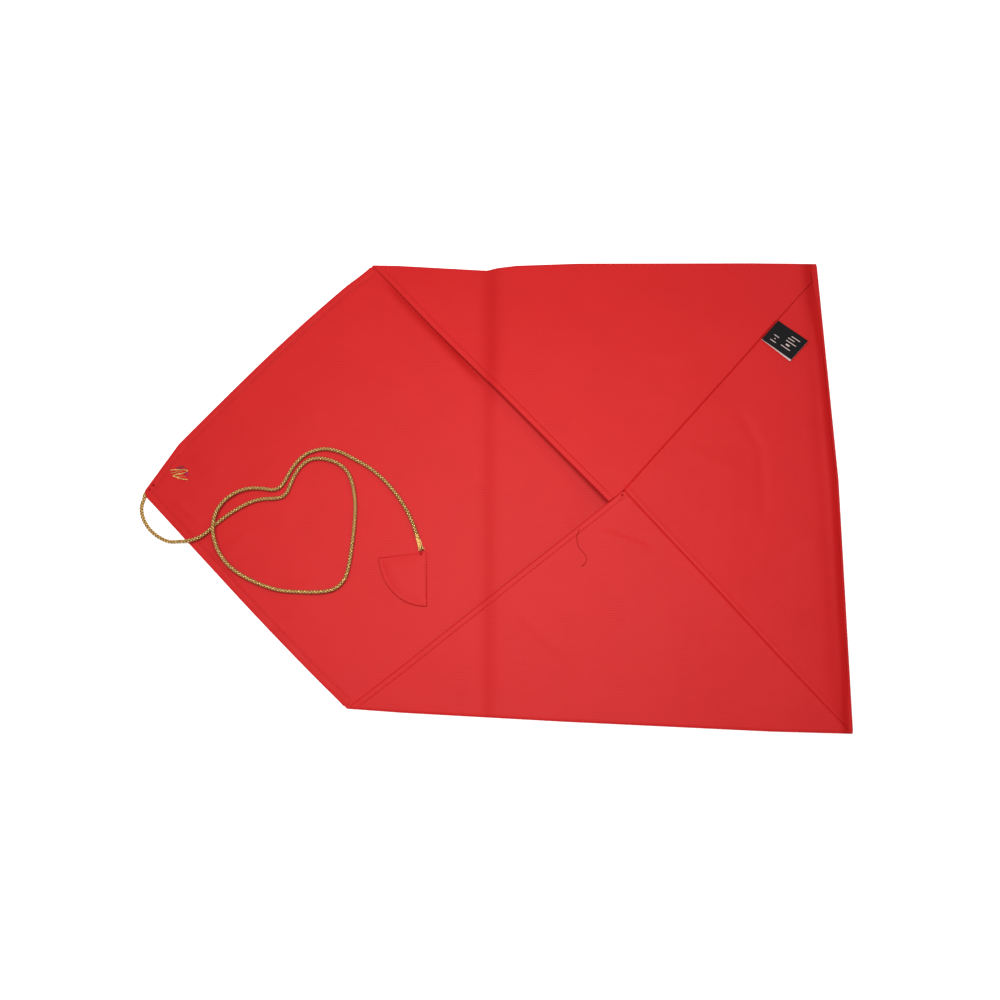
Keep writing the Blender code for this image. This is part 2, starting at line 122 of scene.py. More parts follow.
FLAP_WRINKLES = [
    ((-0.2280, -0.0150), (-0.2080, -0.0300), 0.0030, 0.00035),
    ((-0.2180, 0.0180), (-0.1950, 0.0100), 0.0040, 0.00030),
    ((-0.1900, -0.0560), (-0.1700, -0.0400), 0.0040, 0.00030),
    ((-0.1700, 0.0600), (-0.1250, 0.0480), 0.0070, 0.00030),
    ((-0.1500, -0.0900), (-0.1150, -0.0750), 0.0060, 0.00028),
]

# Settling of the outline: place along X, and how far the edge moves outwards there
UPPER_EDGE_X = [-0.0894, -0.0700, 0.0003, 0.0085, 0.0230, 0.0700, 0.2000, 0.2481]
UPPER_EDGE_MOVE = [0.0, -0.0004, -0.0048, -0.0026, -0.0007, 0.0009, 0.0007, 0.0]
LOWER_EDGE_X = [-0.0894, -0.0500, 0.0600, 0.2000, 0.2534]
LOWER_EDGE_MOVE = [0.0, 0.0009, 0.0015, 0.0012, 0.0]

# The cord's route from the flap's tip to the tab, measured from the middle of the fold line
CORD_ROUTE = [
    (-0.1634, -0.0144, 0.0013), (-0.1633, -0.0160, 0.0015),
    (-0.1631, -0.0177, 0.0016), (-0.1643, -0.0231, 0.00155), (-0.1641, -0.0277, 0.00155),
    (-0.1619, -0.0339, 0.00155), (-0.1569, -0.0411, 0.00155), (-0.1493, -0.0472, 0.00155),
    (-0.1404, -0.0510, 0.002), (-0.1314, -0.0513, 0.0035), (-0.1251, -0.0510, 0.0042),
    (-0.1182, -0.0489, 0.004), (-0.1126, -0.0450, 0.0031), (-0.1075, -0.0397, 0.0025),
    (-0.1015, -0.0344, 0.00235), (-0.0923, -0.0276, 0.00235), (-0.0814, -0.0215, 0.00235),
    (-0.0725, -0.0190, 0.00235), (-0.0635, -0.0185, 0.00235), (-0.0578, -0.0174, 0.00235),
    (-0.0539, -0.0136, 0.00235), (-0.0518, -0.0077, 0.00235), (-0.0490, -0.0005, 0.00235),
    (-0.0449, 0.0061, 0.00235), (-0.0397, 0.0105, 0.00235), (-0.0339, 0.0122, 0.00235),
    (-0.0263, 0.0116, 0.00235), (-0.0171, 0.0083, 0.00235), (-0.0095, 0.0017, 0.00235),
    (-0.0048, -0.0090, 0.00235), (-0.0022, -0.0235, 0.00235), (-0.0020, -0.0385, 0.00235),
    (-0.0028, -0.0534, 0.00235), (-0.0043, -0.0689, 0.00235), (-0.0072, -0.0791, 0.00235),
    (-0.0136, -0.0855, 0.00235), (-0.0241, -0.0879, 0.00235), (-0.0388, -0.0880, 0.00235),
    (-0.0536, -0.0869, 0.00235), (-0.0672, -0.0831, 0.00235), (-0.0803, -0.0774, 0.0026),
    (-0.0918, -0.0699, 0.0036), (-0.1001, -0.0602, 0.0049), (-0.1045, -0.0506, 0.0057),
    (-0.1066, -0.0409, 0.0059), (-0.1054, -0.0299, 0.0055), (-0.1005, -0.0208, 0.0044),
    (-0.0924, -0.0140, 0.0032), (-0.0830, -0.0108, 0.0025), (-0.0732, -0.0108, 0.00235),
    (-0.0654, -0.0118, 0.00235), (-0.0600, -0.0102, 0.00235), (-0.0565, -0.0055, 0.00235),
    (-0.0530, 0.0018, 0.00235), (-0.0481, 0.0096, 0.00235), (-0.0416, 0.0156, 0.00235),
    (-0.0337, 0.0188, 0.00235), (-0.0254, 0.0195, 0.00235), (-0.0153, 0.0169, 0.00235),
    (-0.0044, 0.0113, 0.00235), (0.0072, 0.0045, 0.00235), (0.0189, -0.0053, 0.00235),
    (0.0292, -0.0171, 0.00245), (0.0364, -0.0281, 0.0027), (0.0413, -0.0378, 0.0029),
]
FLARED_HEADING = math.radians(-69.7)
TAB_HEADING = math.radians(186.8)
TAB_SWEEP = math.radians(86.0)
TAB_SCALE = (0.95, 1.07)    # the tab is a little narrower and longer than a true quarter disc
SEAM_LAP = 0.0007           # how far the side panel's edges pass under its neighbours
LABEL_SPOT = 0.763          # the label's place along the upper seam, from the mouth to the side
MOUTH_HEM = 0.0048
FLOOR_SIDE = 3.0
FLOOR_THICKNESS = 0.0060

# The loose thread that hangs at the lower mouth hem, measured from the mouth point
THREAD_TAIL = [(-0.0315, -0.0282), (-0.0333, -0.0346), (-0.0318, -0.0411), (-0.0273, -0.0466),
               (-0.0266, -0.0511), (-0.0297, -0.0546)]

# The tuft's twisted yarn, measured from the flap's tip
TUFT_ROUTE = [(0.0190, 0.0179), (0.0252, 0.0183), (0.0308, 0.0181), (0.0326, 0.0171),
              (0.0306, 0.0159), (0.0252, 0.0147), (0.0222, 0.0137), (0.0246, 0.0123),
              (0.0292, 0.0111), (0.0336, 0.0103)]
# Loose fibres of the tuft: start, end, and 0 for gold, 1 for magenta, 2 for dark blue
TUFT_FIBRES = [(0.0196, 0.0165, 0.0300, 0.0150, 0), (0.0200, 0.0150, 0.0282, 0.0172, 0),
               (0.0205, 0.0140, 0.0316, 0.0128, 0), (0.0215, 0.0128, 0.0290, 0.0144, 0),
               (0.0240, 0.0190, 0.0318, 0.0194, 2), (0.0250, 0.0197, 0.0300, 0.0205, 2),
               (0.0228, 0.0202, 0.0276, 0.0196, 2), (0.0256, 0.0208, 0.0290, 0.0200, 2),
               (0.0300, 0.0160, 0.0341, 0.0146, 1), (0.0305, 0.0150, 0.0338, 0.0136, 1),
               (0.0310, 0.0142, 0.0332, 0.0158, 1)]


# ---------------------------------------------------------------- settings

class ClothSettings(bpy.types.PropertyGroup):
    """The red cloth, its hems and its stitches."""
    colour: FloatVectorProperty(
        name="Cloth colour", description="Colour of the red cloth", subtype="COLOR", size=3,
        min=0.0, max=1.0, default=(0.575, 0.0075, 0.0080))
    shaded: FloatVectorProperty(
        name="Deep colour", description="Colour in the cloth's grooves", subtype="COLOR", size=3,
        min=0.0, max=1.0, default=(0.36, 0.003, 0.004))
    # Painted shade: the deep red the cloth turns to along the crease, in the side fold's valley and
    # beside the upper mouth
    painted_shade_tint: FloatVectorProperty(
        name="Painted shade colour", description="Colour of the painted shade along the crease, in the side fold's valley and beside the upper mouth",
        subtype="COLOR", size=3, min=0.0, max=1.0, default=(0.43, 0.0010, 0.0010))
    thickness: FloatProperty(
        name="Thickness", description="Thickness of one layer of cloth", subtype="DISTANCE",
        unit="LENGTH", default=0.40 * MM)
    cell: FloatProperty(
        name="Mesh cell", description="Size of the cloth's mesh cells away from its edges",
        subtype="DISTANCE", unit="LENGTH", default=1.45 * MM)
    rib_pitch: FloatProperty(
        name="Rib pitch", description="Distance between two ribs of the weave", subtype="DISTANCE",
        unit="LENGTH", default=1.2 * MM)
    mouth_hem: FloatProperty(
        name="Mouth hem", description="Width of the hems along the pocket's mouth",
        subtype="DISTANCE", unit="LENGTH", default=MOUTH_HEM)
    flap_hem: FloatProperty(
        name="Flap hem", description="Width of the hems along the flap", subtype="DISTANCE",
        unit="LENGTH", default=6.2 * MM)
    stitch_pitch: FloatProperty(
        name="Stitch pitch", description="Distance from one stitch to the next",
        subtype="DISTANCE", unit="LENGTH", default=2.0 * MM)
    thread: FloatProperty(
        name="Thread", description="Diameter of the sewing thread", subtype="DISTANCE",
        unit="LENGTH", default=0.40 * MM)
    thread_colour: FloatVectorProperty(
        name="Thread colour", description="Colour of the sewing thread", subtype="COLOR", size=3,
        min=0.0, max=1.0, default=(0.44, 0.006, 0.007))


class CordSettings(bpy.types.PropertyGroup):
    """The braided tie cord and the tab on its end."""
    diameter: FloatProperty(
        name="Diameter", description="Outer diameter of the braid", subtype="DISTANCE",
        unit="LENGTH", default=3.1 * MM)
    lay: FloatProperty(
        name="Lay", description="Length of cord in which a strand goes round once",
        subtype="DISTANCE", unit="LENGTH", default=7.0 * MM)
    strands: IntProperty(
        name="Strands each way", description="Strands that wind in each direction", default=3,
        min=2, max=8)
    gold: FloatVectorProperty(
        name="Gold", description="Colour of the metallic yarn", subtype="COLOR", size=3,
        min=0.0, max=1.0, default=(1.0, 0.62, 0.19))
    brown: FloatVectorProperty(
        name="Core", description="Colour of the cord's core between the strands",
        subtype="COLOR", size=3, min=0.0, max=1.0, default=(0.16, 0.060, 0.012))
    tab_radius: FloatProperty(
        name="Tab radius", description="Radius of the quarter-round tab", subtype="DISTANCE",
        unit="LENGTH", default=37.0 * MM)


class LabelSettings(bpy.types.PropertyGroup):
    """The folded ribbon label."""
    width: FloatProperty(
        name="Width", description="Width of the ribbon", subtype="DISTANCE", unit="LENGTH",
        default=19.4 * MM)
    length: FloatProperty(
        name="Length", description="Length that hangs from the seam", subtype="DISTANCE",
        unit="LENGTH", default=26.3 * MM)
    black: FloatVectorProperty(
        name="Ribbon", description="Colour of the ribbon's face", subtype="COLOR", size=3,
        min=0.0, max=1.0, default=(0.010, 0.010, 0.011))
    pale: FloatVectorProperty(
        name="Reverse", description="Colour of the ribbon's reverse and its woven bars",
        subtype="COLOR", size=3, min=0.0, max=1.0, default=(0.66, 0.50, 0.48))


class StageSettings(bpy.types.PropertyGroup):
    """Floor, lights and camera."""
    floor: FloatVectorProperty(
        name="Floor", description="Colour of the floor", subtype="COLOR", size=3, min=0.0,
        max=1.0, default=(0.93, 0.93, 0.93))
    key: FloatProperty(
        name="Main light", description="Power of the large soft light", unit="POWER", default=4.0)
    fill: FloatProperty(
        name="Surroundings", description="Strength of the light from all round", default=0.27)
    camera_place: FloatVectorProperty(
        name="Camera", description="Place of the camera", subtype="XYZ", unit="LENGTH", size=3,
        default=(0.0851, -0.2087, 0.7325))
    camera_aim: FloatVectorProperty(
        name="Aim", description="Point at the middle of the view", subtype="XYZ", unit="LENGTH",
        size=3, default=(0.0144, -0.0140, 0.0))
    camera_roll: FloatProperty(
        name="Roll", description="Turn of the camera about its own view", subtype="ANGLE",
        default=math.radians(-19.35))
    lens: FloatProperty(
        name="Lens", description="Focal length in millimetres", default=37.8)


# ---------------------------------------------------------------- numbers and lines

def smooth(share):
    """Soft step from 0 to 1."""
    share = np.clip(share, 0.0, 1.0)
    return share * share * (3.0 - 2.0 * share)


def bell(share):
    """Soft hump: 1 in the middle, falling off to nothing on both sides."""
    return np.exp(-share * share)


def round_over(distance, width):
    """A quarter circle: 0 at the edge, 1 from width inwards."""
    share = np.clip(distance / width, 0.0, 1.0)
    return np.sqrt(1.0 - (1.0 - share) ** 2)


def direction(start, end):
    """The unit vector from one point to another."""
    return (end - start) / np.linalg.norm(end - start)


def across(place, line):
    """Distance of each point to the left of a line."""
    start, end = line
    along = direction(start, end)
    return (place[..., 1] - start[1]) * along[0] - (place[..., 0] - start[0]) * along[1]


def down(place, line):
    """Distance of each point along a line from its start."""
    start, end = line
    return (place - start) @ direction(start, end)


def plane(*corners):
    """Height of the plane through three corners, as a function of the place in plan."""
    (ax, ay, az), (bx, by, bz), (cx, cy, cz) = corners
    slope = np.linalg.solve([[bx - ax, by - ay], [cx - ax, cy - ay]], [bz - az, cz - az])
    return lambda place: az + (place[..., 0] - ax) * slope[0] + (place[..., 1] - ay) * slope[1]


def rumple(place, wavelength, seed):
    """Gentle unevenness between about -1 and 1."""
    total = 0.0
    for wave in range(6):
        heading = seed + 2.4 * wave
        run = place[..., 0] * math.cos(heading) + place[..., 1] * math.sin(heading)
        length = wavelength * (0.7 + 0.17 * wave)
        total = total + np.sin(TURN * run / length + 1.7 * wave * wave + seed)
    return total / 3.5


def wrinkled(place, wrinkles):
    """Soft ridges and valleys along short lines."""
    height = 0.0
    for start, end, width, rise in wrinkles:
        line = (np.array(start), np.array(end))
        length = np.linalg.norm(line[1] - line[0])
        run = down(place, line)
        ends = smooth(run / length * 2.5 + 0.5) * smooth((1.0 - run / length) * 2.5 + 0.5)
        height = height + rise * ends * bell(across(place, line) / width)
    return height


def settle(place):
    """Moves the plan's straight edges to where the sewn cloth's edges lie."""
    x, y = place[..., 0], place[..., 1]
    pocket_x = np.maximum(x, FOLD_X)
    upper = np.interp(pocket_x, UPPER_EDGE_X, UPPER_EDGE_MOVE)
    lower = np.interp(pocket_x, LOWER_EDGE_X, LOWER_EDGE_MOVE)
    moved_y = y + upper * smooth((y - 0.06) / 0.11) - lower * smooth((-y - 0.06) / 0.11)
    moved_x = x
    for line, bulge, skew in (((UPPER_LEFT, SHOULDER), 0.0036, 0.80),
                              ((TIP, LOWER_LEFT), 0.0014, 1.35)):
        along = direction(*line)
        share = np.clip(down(place, line) / np.linalg.norm(line[1] - line[0]), 0.0, 1.0)
        reach = bulge * np.sin(math.pi * share ** skew) * bell(across(place, line) / 0.06)
        reach = reach * smooth((FOLD_X - x) / 0.02)
        moved_x = moved_x + along[1] * reach
        moved_y = moved_y - along[0] * reach
    return np.stack([moved_x, moved_y], axis=-1)


def settled(place, height):
    """Points in space: the settled place with its height."""
    return np.concatenate([settle(place), np.asarray(height)[..., None]], axis=-1)


def level(height):
    """A height that is the same all over."""
    return lambda place: np.full(place.shape[:-1], height)


def raised(height, rise):
    """A height a little over another one."""
    return lambda place: height(place) + rise


# ---------------------------------------------------------------- heights of the cloth

def off_crease(place):
    """Distance to the right of the crease."""
    share = (CREASE_TOP[1] - place[..., 1]) / (CREASE_TOP[1] - CREASE_FOOT[1])
    return place[..., 0] - (CREASE_TOP[0] + (CREASE_FOOT[0] - CREASE_TOP[0]) * share)


def crease(place):
    """Two fine lines in a soft valley, where the wrap was once folded in half."""
    off = off_crease(place)
    fine = -0.00022 * bell(off / 0.0012) + 0.00012 * bell((off - 0.0018) / 0.0010)
    second = -0.00016 * bell((off - 0.0036) / 0.0012)
    return fine + second - 0.00062 * bell((off - 0.001) / 0.0075)


def ground(place):
    """Middle of the cloth that lies on the table: the flap and the back panel."""
    soft = 0.00013 * (1.0 + rumple(place, 0.055, 0.4)) + 0.00004 * rumple(place, 0.013, 2.0)
    flat = GROUND + soft + np.maximum(crease(place) * 0.4, -0.0002)
    return flat + wrinkled(place, FLAP_WRINKLES)


def back_height(place):
    """The back panel rises to meet the front in its three folds."""
    edges = [(UPPER_RIGHT, UPPER_LEFT), (LOWER_LEFT, LOWER_RIGHT), (LOWER_RIGHT, SIDE_MIDDLE),
             (SIDE_MIDDLE, UPPER_RIGHT)]
    inside = np.minimum.reduce([across(place, edge) for edge in edges])
    rise = (1.0 - round_over(inside, 0.0018)) * smooth((place[..., 0] - FOLD_X) / 0.006)
    low = ground(place)
    return low + (FOLD_EDGE - low) * rise


def lifted_plane(first, second):
    """A front panel's plane, from two low corners at its fold up to the mouth."""
    low = FRONT_AT_FOLD
    return plane((*first, low), (*second, low), (*MOUTH, FRONT_AT_MOUTH))


UPPER_PLANE = lifted_plane(UPPER_LEFT, ROLL_UPPER)
LOWER_PLANE = lifted_plane(LOWER_LEFT, LOWER_RIGHT)
SIDE_PLANE = lifted_plane(ROLL_NECK, ROLL_FOOT)


def slack(place):
    """Unevenness of the front panels."""
    soft = 0.00028 * rumple(place, 0.085, 1.1) + 0.00005 * rumple(place, 0.017, 3.0)
    return soft + crease(place) + wrinkled(place, WRINKLES)


def folded_down(height, inside, width=0.0022):
    """Rounds a front panel down to the fold's edge."""
    return FOLD_EDGE + (height - FOLD_EDGE) * round_over(inside, width)


def hem_relief(inside, run, width):
    """The band over a turned-under hem, the groove of its stitch row, and its puckers."""
    stitch = width - 0.0005
    band = 0.00024 * smooth(inside / 0.0009) * (1.0 - smooth((inside - stitch + 0.0006) / 0.0012))
    groove = -0.00020 * bell((inside - stitch) / 0.00042)
    phase = TURN * run / 0.0071 + 1.4 * np.sin(TURN * run / 0.023)
    pucker = 0.00010 * np.sin(phase) * bell((inside - stitch + 0.0009) / 0.0020)
    return band + groove + pucker - 0.00085 * (1.0 - round_over(inside, 0.0014))


def seam_relief(inside, run, ridge):
    """Cloth rolling into a seam, with a soft ridge beside it."""
    phase = TURN * run / 0.0093 + 1.1 * np.sin(TURN * run / 0.031)
    pucker = 0.00006 * np.sin(phase) * bell(inside / 0.0040)
    return ridge * bell((inside - 0.0024) / 0.0013) + pucker - 0.00085 * (
        1.0 - round_over(inside, 0.0013))


def upper_height(place):
    """The upper front panel, with its hem, its seam, the side fold's valley and its own fold."""
    fold = across(place, (UPPER_RIGHT, UPPER_LEFT))
    mouth = (UPPER_LEFT, MOUTH_CORNER)
    height = UPPER_PLANE(place) + slack(place) * smooth(fold / 0.02)
    shown = 0.25 + 0.75 * smooth((place[..., 0] - CREASE_TOP[0]) / 0.006)
    height = height + shown * hem_relief(across(place, mouth), down(place, mouth), MOUTH_HEM)
    seam = across(place, SEAM_UP)
    fade = smooth((across(place, (ROLL_FOOT, ROLL_NECK)) + 0.004) / 0.05)
    height = height + seam_relief(seam, down(place, SEAM_UP), 0.00016) * fade
    inside = across(place, (LOWER_RIGHT, UPPER_RIGHT))
    height = height - 0.00120 * bell((inside - 0.0062) / 0.0052)
    return folded_down(height, fold)


def lower_height(place):
    """The lower front panel, with its hem, its seam, and the end that laps over the upper one."""
    fold = across(place, (LOWER_LEFT, LOWER_RIGHT))
    mouth = (MOUTH, LOWER_LEFT)
    height = LOWER_PLANE(place) + slack(place) * smooth(fold / 0.02)
    height = height + hem_relief(across(place, mouth), down(place, mouth), MOUTH_HEM)
    height = height + seam_relief(across(place, (ROLL_FOOT, MOUTH)), down(place, SEAM_DOWN), 0.00008)
    lap = 1.0 - np.hypot(place[..., 0] - MOUTH[0], place[..., 1] - MOUTH[1]) / 0.024
    return folded_down(height + 0.0007 * smooth(lap), fold)


def side_height(place):
    """The side front panel, with both its seams and the side fold's valley."""
    height = SIDE_PLANE(place) + slack(place)
    height = height + seam_relief(across(place, SEAM_DOWN), down(place, SEAM_DOWN), 0.00024)
    seam = across(place, (ROLL_NECK, MOUTH))
    fade = smooth((across(place, (ROLL_FOOT, ROLL_NECK)) + 0.004) / 0.05)
    height = height + seam_relief(seam, down(place, SEAM_UP), 0.00012) * fade
    inside = across(place, (LOWER_RIGHT, UPPER_RIGHT))
    deep = 0.00125 + 0.00025 * smooth((place[..., 1] - 0.02) / 0.12)
    under = np.minimum(seam, across(place, SEAM_DOWN))
    dip = (0.00022 + 0.00028 * fade) * (1.0 - smooth((under + 0.0003) / 0.0009))
    return height - deep * bell((inside - 0.0050) / 0.0062) - dip


# ---------------------------------------------------------------- meshes

class Shape:
    """Collects points and faces, each face corner with its place on the cloth or yarn."""

    def __init__(self):
        self.points, self.faces, self.places, self.tints, self.depths = [], [], [], [], []
        self.count = 0

    def add(self, points, faces, places, tint=0, depth=None):
        """points n x 3, faces as lists of indexes, places as one list of pairs for each face,
        depth from 0 to 1 where each point's colour is deepened as painted shade."""
        self.points.append(np.asarray(points, dtype=float).reshape(-1, 3))
        self.faces.extend([[index + self.count for index in face] for face in faces])
        self.places.extend(places)
        self.tints.extend([tint] * len(faces))
        self.depths.append(np.zeros(len(self.points[-1])) if depth is None else depth.ravel())
        self.count += len(self.points[-1])

    def piece(self, name, materials):
        """One closed, smooth object from what was added."""
        mesh = bpy.data.meshes.new(name)
        mesh.from_pydata(np.concatenate(self.points).tolist(), [], self.faces)
        layer = mesh.uv_layers.new(name="Place")
        pairs = np.array([pair for face in self.places for pair in face], dtype=np.float32)
        layer.uv.foreach_set("vector", pairs.ravel())
        mesh.polygons.foreach_set("material_index", np.array(self.tints, dtype=np.int32))
        # Painted shade: how far each point's colour is deepened to stand for shade
        note = mesh.attributes.new("PaintedShade", "FLOAT", "POINT")
        note.data.foreach_set("value", np.concatenate(self.depths).astype(np.float32))
        shape = bmesh.new()
        shape.from_mesh(mesh)
        bmesh.ops.recalc_face_normals(shape, faces=shape.faces)
        shape.to_mesh(mesh)
        shape.free()
        mesh.shade_smooth()
        for material in materials:
            mesh.materials.append(material)
        made = bpy.data.objects.new(name, mesh)
        bpy.context.scene.collection.objects.link(made)
        return made


def add_sheet(shape, middle, rest, thickness, tint=0):
    """A closed leaf of cloth from a grid of points on its middle, thinner along its rim."""
    rows, columns = middle.shape[:2]
    by_row, by_column = np.gradient(middle, axis=0), np.gradient(middle, axis=1)
    normal = np.cross(by_column, by_row)
    normal /= np.maximum(np.linalg.norm(normal, axis=-1, keepdims=True), 1e-12)
    normal *= np.where(normal[..., 2:3] < 0, -1.0, 1.0)
    rim = np.ones((rows, columns))
    for ring, share in ((1, 0.85), (0, 0.35)):
        edge = np.ones((rows, columns), dtype=bool)
        edge[ring + 1:rows - ring - 1, ring + 1:columns - ring - 1] = False
        rim[edge] = share
    half = normal * (rim * thickness / 2)[..., None]
    points = np.concatenate([(middle + half).reshape(-1, 3), (middle - half).reshape(-1, 3)])
    under = rows * columns
    index = np.arange(under).reshape(rows, columns)
    quads = np.stack([index[:-1, :-1], index[:-1, 1:], index[1:, 1:], index[1:, :-1]], -1)
    quads = quads.reshape(-1, 4)
    border = np.concatenate([index[0, :], index[1:, -1], index[-1, -2::-1], index[-2:0:-1, 0]])
    after = np.roll(border, -1)
    walls = np.stack([border, border + under, after + under, after], -1)
    faces = np.concatenate([quads, quads[:, ::-1] + under, walls])
    place = np.concatenate([rest.reshape(-1, 2)] * 2)
    shape.add(points, faces.tolist(), place[faces].tolist(), tint)


def add_loft(shape, rings, run, tint=0, around=None, depth=None):
    """A closed body through rings of points. Its places are the run along it and the way round."""
    count, sides = rings.shape[:2]
    index = np.arange(count * sides).reshape(count, sides)
    beside = np.roll(index, -1, axis=1)
    faces = np.stack([index[:-1], beside[:-1], beside[1:], index[1:]], -1).reshape(-1, 4)
    way = np.arange(sides + 1) / sides if around is None else around
    first = np.broadcast_to(way[:-1], (count - 1, sides))
    second = np.broadcast_to(way[1:], (count - 1, sides))
    near = np.broadcast_to(np.asarray(run)[:-1, None], (count - 1, sides))
    far = np.broadcast_to(np.asarray(run)[1:, None], (count - 1, sides))
    pairs = ((near, first), (near, second), (far, second), (far, first))
    corners = [np.stack(pair, -1) for pair in pairs]
    places = np.stack(corners, axis=2).reshape(-1, 4, 2).tolist()
    ends = [list(range(sides)), list(range((count - 1) * sides, count * sides))]
    end_places = [[(run[0], way[side]) for side in range(sides)],
                  [(run[-1], way[side]) for side in range(sides)]]
    shape.add(rings.reshape(-1, 3), faces.tolist() + ends, places + end_places, tint, depth)


def tube_rings(line, radius, sides):
    """Rings of points round a line. Lines here are never upright, so each ring's side is level."""
    line = np.asarray(line, dtype=float)
    along = np.gradient(line, axis=0)
    along /= np.linalg.norm(along, axis=1, keepdims=True)
    side = np.cross(along, [0.0, 0.0, 1.0])
    side /= np.linalg.norm(side, axis=1, keepdims=True)
    above = np.cross(side, along)
    angle = TURN * np.arange(sides) / sides
    radius = np.broadcast_to(radius, len(line))[:, None, None]
    circle = side[:, None] * np.cos(angle)[None, :, None]
    circle = circle + above[:, None] * np.sin(angle)[None, :, None]
    return line[:, None] + circle * radius


def add_tube(shape, line, radius, sides, tint=0):
    """A closed round thread along a line."""
    line = np.asarray(line, dtype=float)
    run = np.concatenate([[0.0], np.cumsum(np.linalg.norm(np.diff(line, axis=0), axis=1))])
    add_loft(shape, tube_rings(line, radius, sides), run, tint)


def smooth_line(points, step):
    """Catmull-Rom curve through the points, with points at an even step along it."""
    points = np.asarray(points, dtype=float)
    ends = np.concatenate([[points[0] * 2 - points[1]], points, [points[-1] * 2 - points[-2]]])
    share = np.linspace(0.0, 1.0, 24, endpoint=False)[:, None]
    parts = []
    for before, start, end, after in zip(ends, ends[1:], ends[2:], ends[3:]):
        parts.append((start * 2 + (end - before) * share
                      + (before * 2 - start * 5 + end * 4 - after) * share ** 2
                      + (start * 3 - before - end * 3 + after) * share ** 3) / 2)
    line = np.concatenate([*parts, points[-1:]])
    run = np.concatenate([[0.0], np.cumsum(np.linalg.norm(np.diff(line, axis=0), axis=1))])
    even = np.linspace(0.0, run[-1], max(3, round(run[-1] / step) + 1))
    return np.stack([np.interp(even, run, line[:, axis]) for axis in range(line.shape[1])], -1), even


# Distances from an edge at which the cloth's mesh has its points, closer together near the edge
EDGE_STEPS = np.array([0, 0.2, 0.45, 0.8, 1.2, 1.7, 2.2, 2.8, 3.4, 3.8, 4.1, 4.4, 4.7, 5.1, 5.6, 6.4,
                       7.4]) * MM


def spaced(length, cell, first=EDGE_STEPS, last=EDGE_STEPS):
    """Distances across a row: close together at both ends and even between them."""
    inner = length - first[-1] - last[-1]
    count = max(2, round(inner / cell))
    middle = first[-1] + inner * np.arange(1, count) / count
    return np.concatenate([first, middle, (length - last)[::-1]])


def row_shares(longest, cell, first=EDGE_STEPS, last=EDGE_STEPS):
    """For a row of any length: where its points lie. In a short row they lie more evenly."""
    pattern = spaced(longest, cell, first, last)
    ends = first[-1] + last[-1]
    inner = (pattern - first[-1]) / (longest - ends)

    def shares(length):
        shrunk = pattern / longest * 0.4 + np.linspace(0.0, 1.0, len(pattern)) * 0.6
        if length < ends * 1.05:
            return shrunk
        stretched = first[-1] + inner * (length - ends)
        kept_start = np.arange(len(pattern)) < len(first)
        kept_end = np.arange(len(pattern)) >= len(pattern) - len(last)
        spots = np.where(kept_start, pattern, np.where(kept_end, length - (longest - pattern),
                                                       stretched))
        return shrunk + (spots / length - shrunk) * smooth(length / ends - 1.05)
    return shares


def grid_between(left, right, cell):
    """Plan points in rows: row i runs from left[i] to right[i]."""
    lengths = np.linalg.norm(right - left, axis=1)
    shares = row_shares(lengths.max(), cell)
    spots = np.stack([shares(length) for length in lengths])
    return left[:, None] + (right - left)[:, None] * spots[..., None]


def along_path(corners, shares):
    """Points on a path through corners, at shares of its length."""
    corners = np.asarray(corners, dtype=float)
    run = np.concatenate([[0.0], np.cumsum(np.linalg.norm(np.diff(corners, axis=0), axis=1))])
    return np.stack([np.interp(shares * run[-1], run, corners[:, axis]) for axis in (0, 1)], -1)


def panel_plan(left_path, right_path, cell):
    """Plan of a folded-in corner: rows from the fold's edge up to the narrow end."""
    depth = np.linalg.norm(left_path[-1] + right_path[-1] - left_path[0] - right_path[0]) / 2
    shares = spaced(depth, cell, EDGE_STEPS, EDGE_STEPS[:4]) / depth
    return grid_between(along_path(left_path, shares), along_path(right_path, shares), cell)


def side_bulge(y):
    """How far the side fold stands out past the straight line between its two corners."""
    most = abs(float(across(SIDE_MIDDLE, (LOWER_RIGHT, UPPER_RIGHT))))
    return most * np.interp(y, [LOWER_RIGHT[1], SIDE_MIDDLE[1], UPPER_RIGHT[1]], [0.0, 1.0, 0.0])


def painted_shade_mask(place):
    """Painted shade, from 0 to 1, deepening the cloth's colour: along the crease, in the side fold's
    valley, and on the back panel just outside the upper mouth's edge, left of the crease, as its shadow."""
    off = off_crease(place)
    high = smooth((place[..., 1] - 0.045) / 0.05)
    band = bell((off - 0.0012 - 0.0022 * high) / (0.0048 + 0.0022 * high))
    top = smooth((place[..., 1] - 0.09) / 0.06)
    foot = smooth((-place[..., 1] - 0.13) / 0.04)
    inside = across(place, (LOWER_RIGHT, UPPER_RIGHT)) + side_bulge(place[..., 1])
    below = -across(place, (UPPER_LEFT, MOUTH_CORNER))
    from_corner = down(place, (UPPER_LEFT, MOUTH_CORNER))
    shade = smooth(below / 0.0004 + 1.0) * smooth(1.0 - below / 0.0090) * smooth(-off / 0.012)
    shade = shade * smooth((from_corner - 0.006) / 0.03)
    centre = 0.0032 + 0.0030 * top + 0.0012 * foot
    fold = 0.95 * bell((inside - centre) / (0.0032 + 0.0014 * top))
    return np.minimum(1.0, (0.24 + 0.26 * high) * band + fold + 0.85 * shade)


def cloth_piece(name, plan, height, material, thickness):
    """One leaf of cloth over a plan, with its painted shade noted on its points."""
    shape = Shape()
    add_sheet(shape, settled(plan, height(plan)), plan, thickness)
    piece = shape.piece(name, [material])
    depth = np.tile(painted_shade_mask(plan).ravel(), 2).astype(np.float32)
    piece.data.attributes["PaintedShade"].data.foreach_set("value", depth)
    return piece


def declare_sheet(corners):
    """Takes the corners of the flat cloth a piece was cut to; it works out nothing from them."""
    corners = np.asarray(corners)


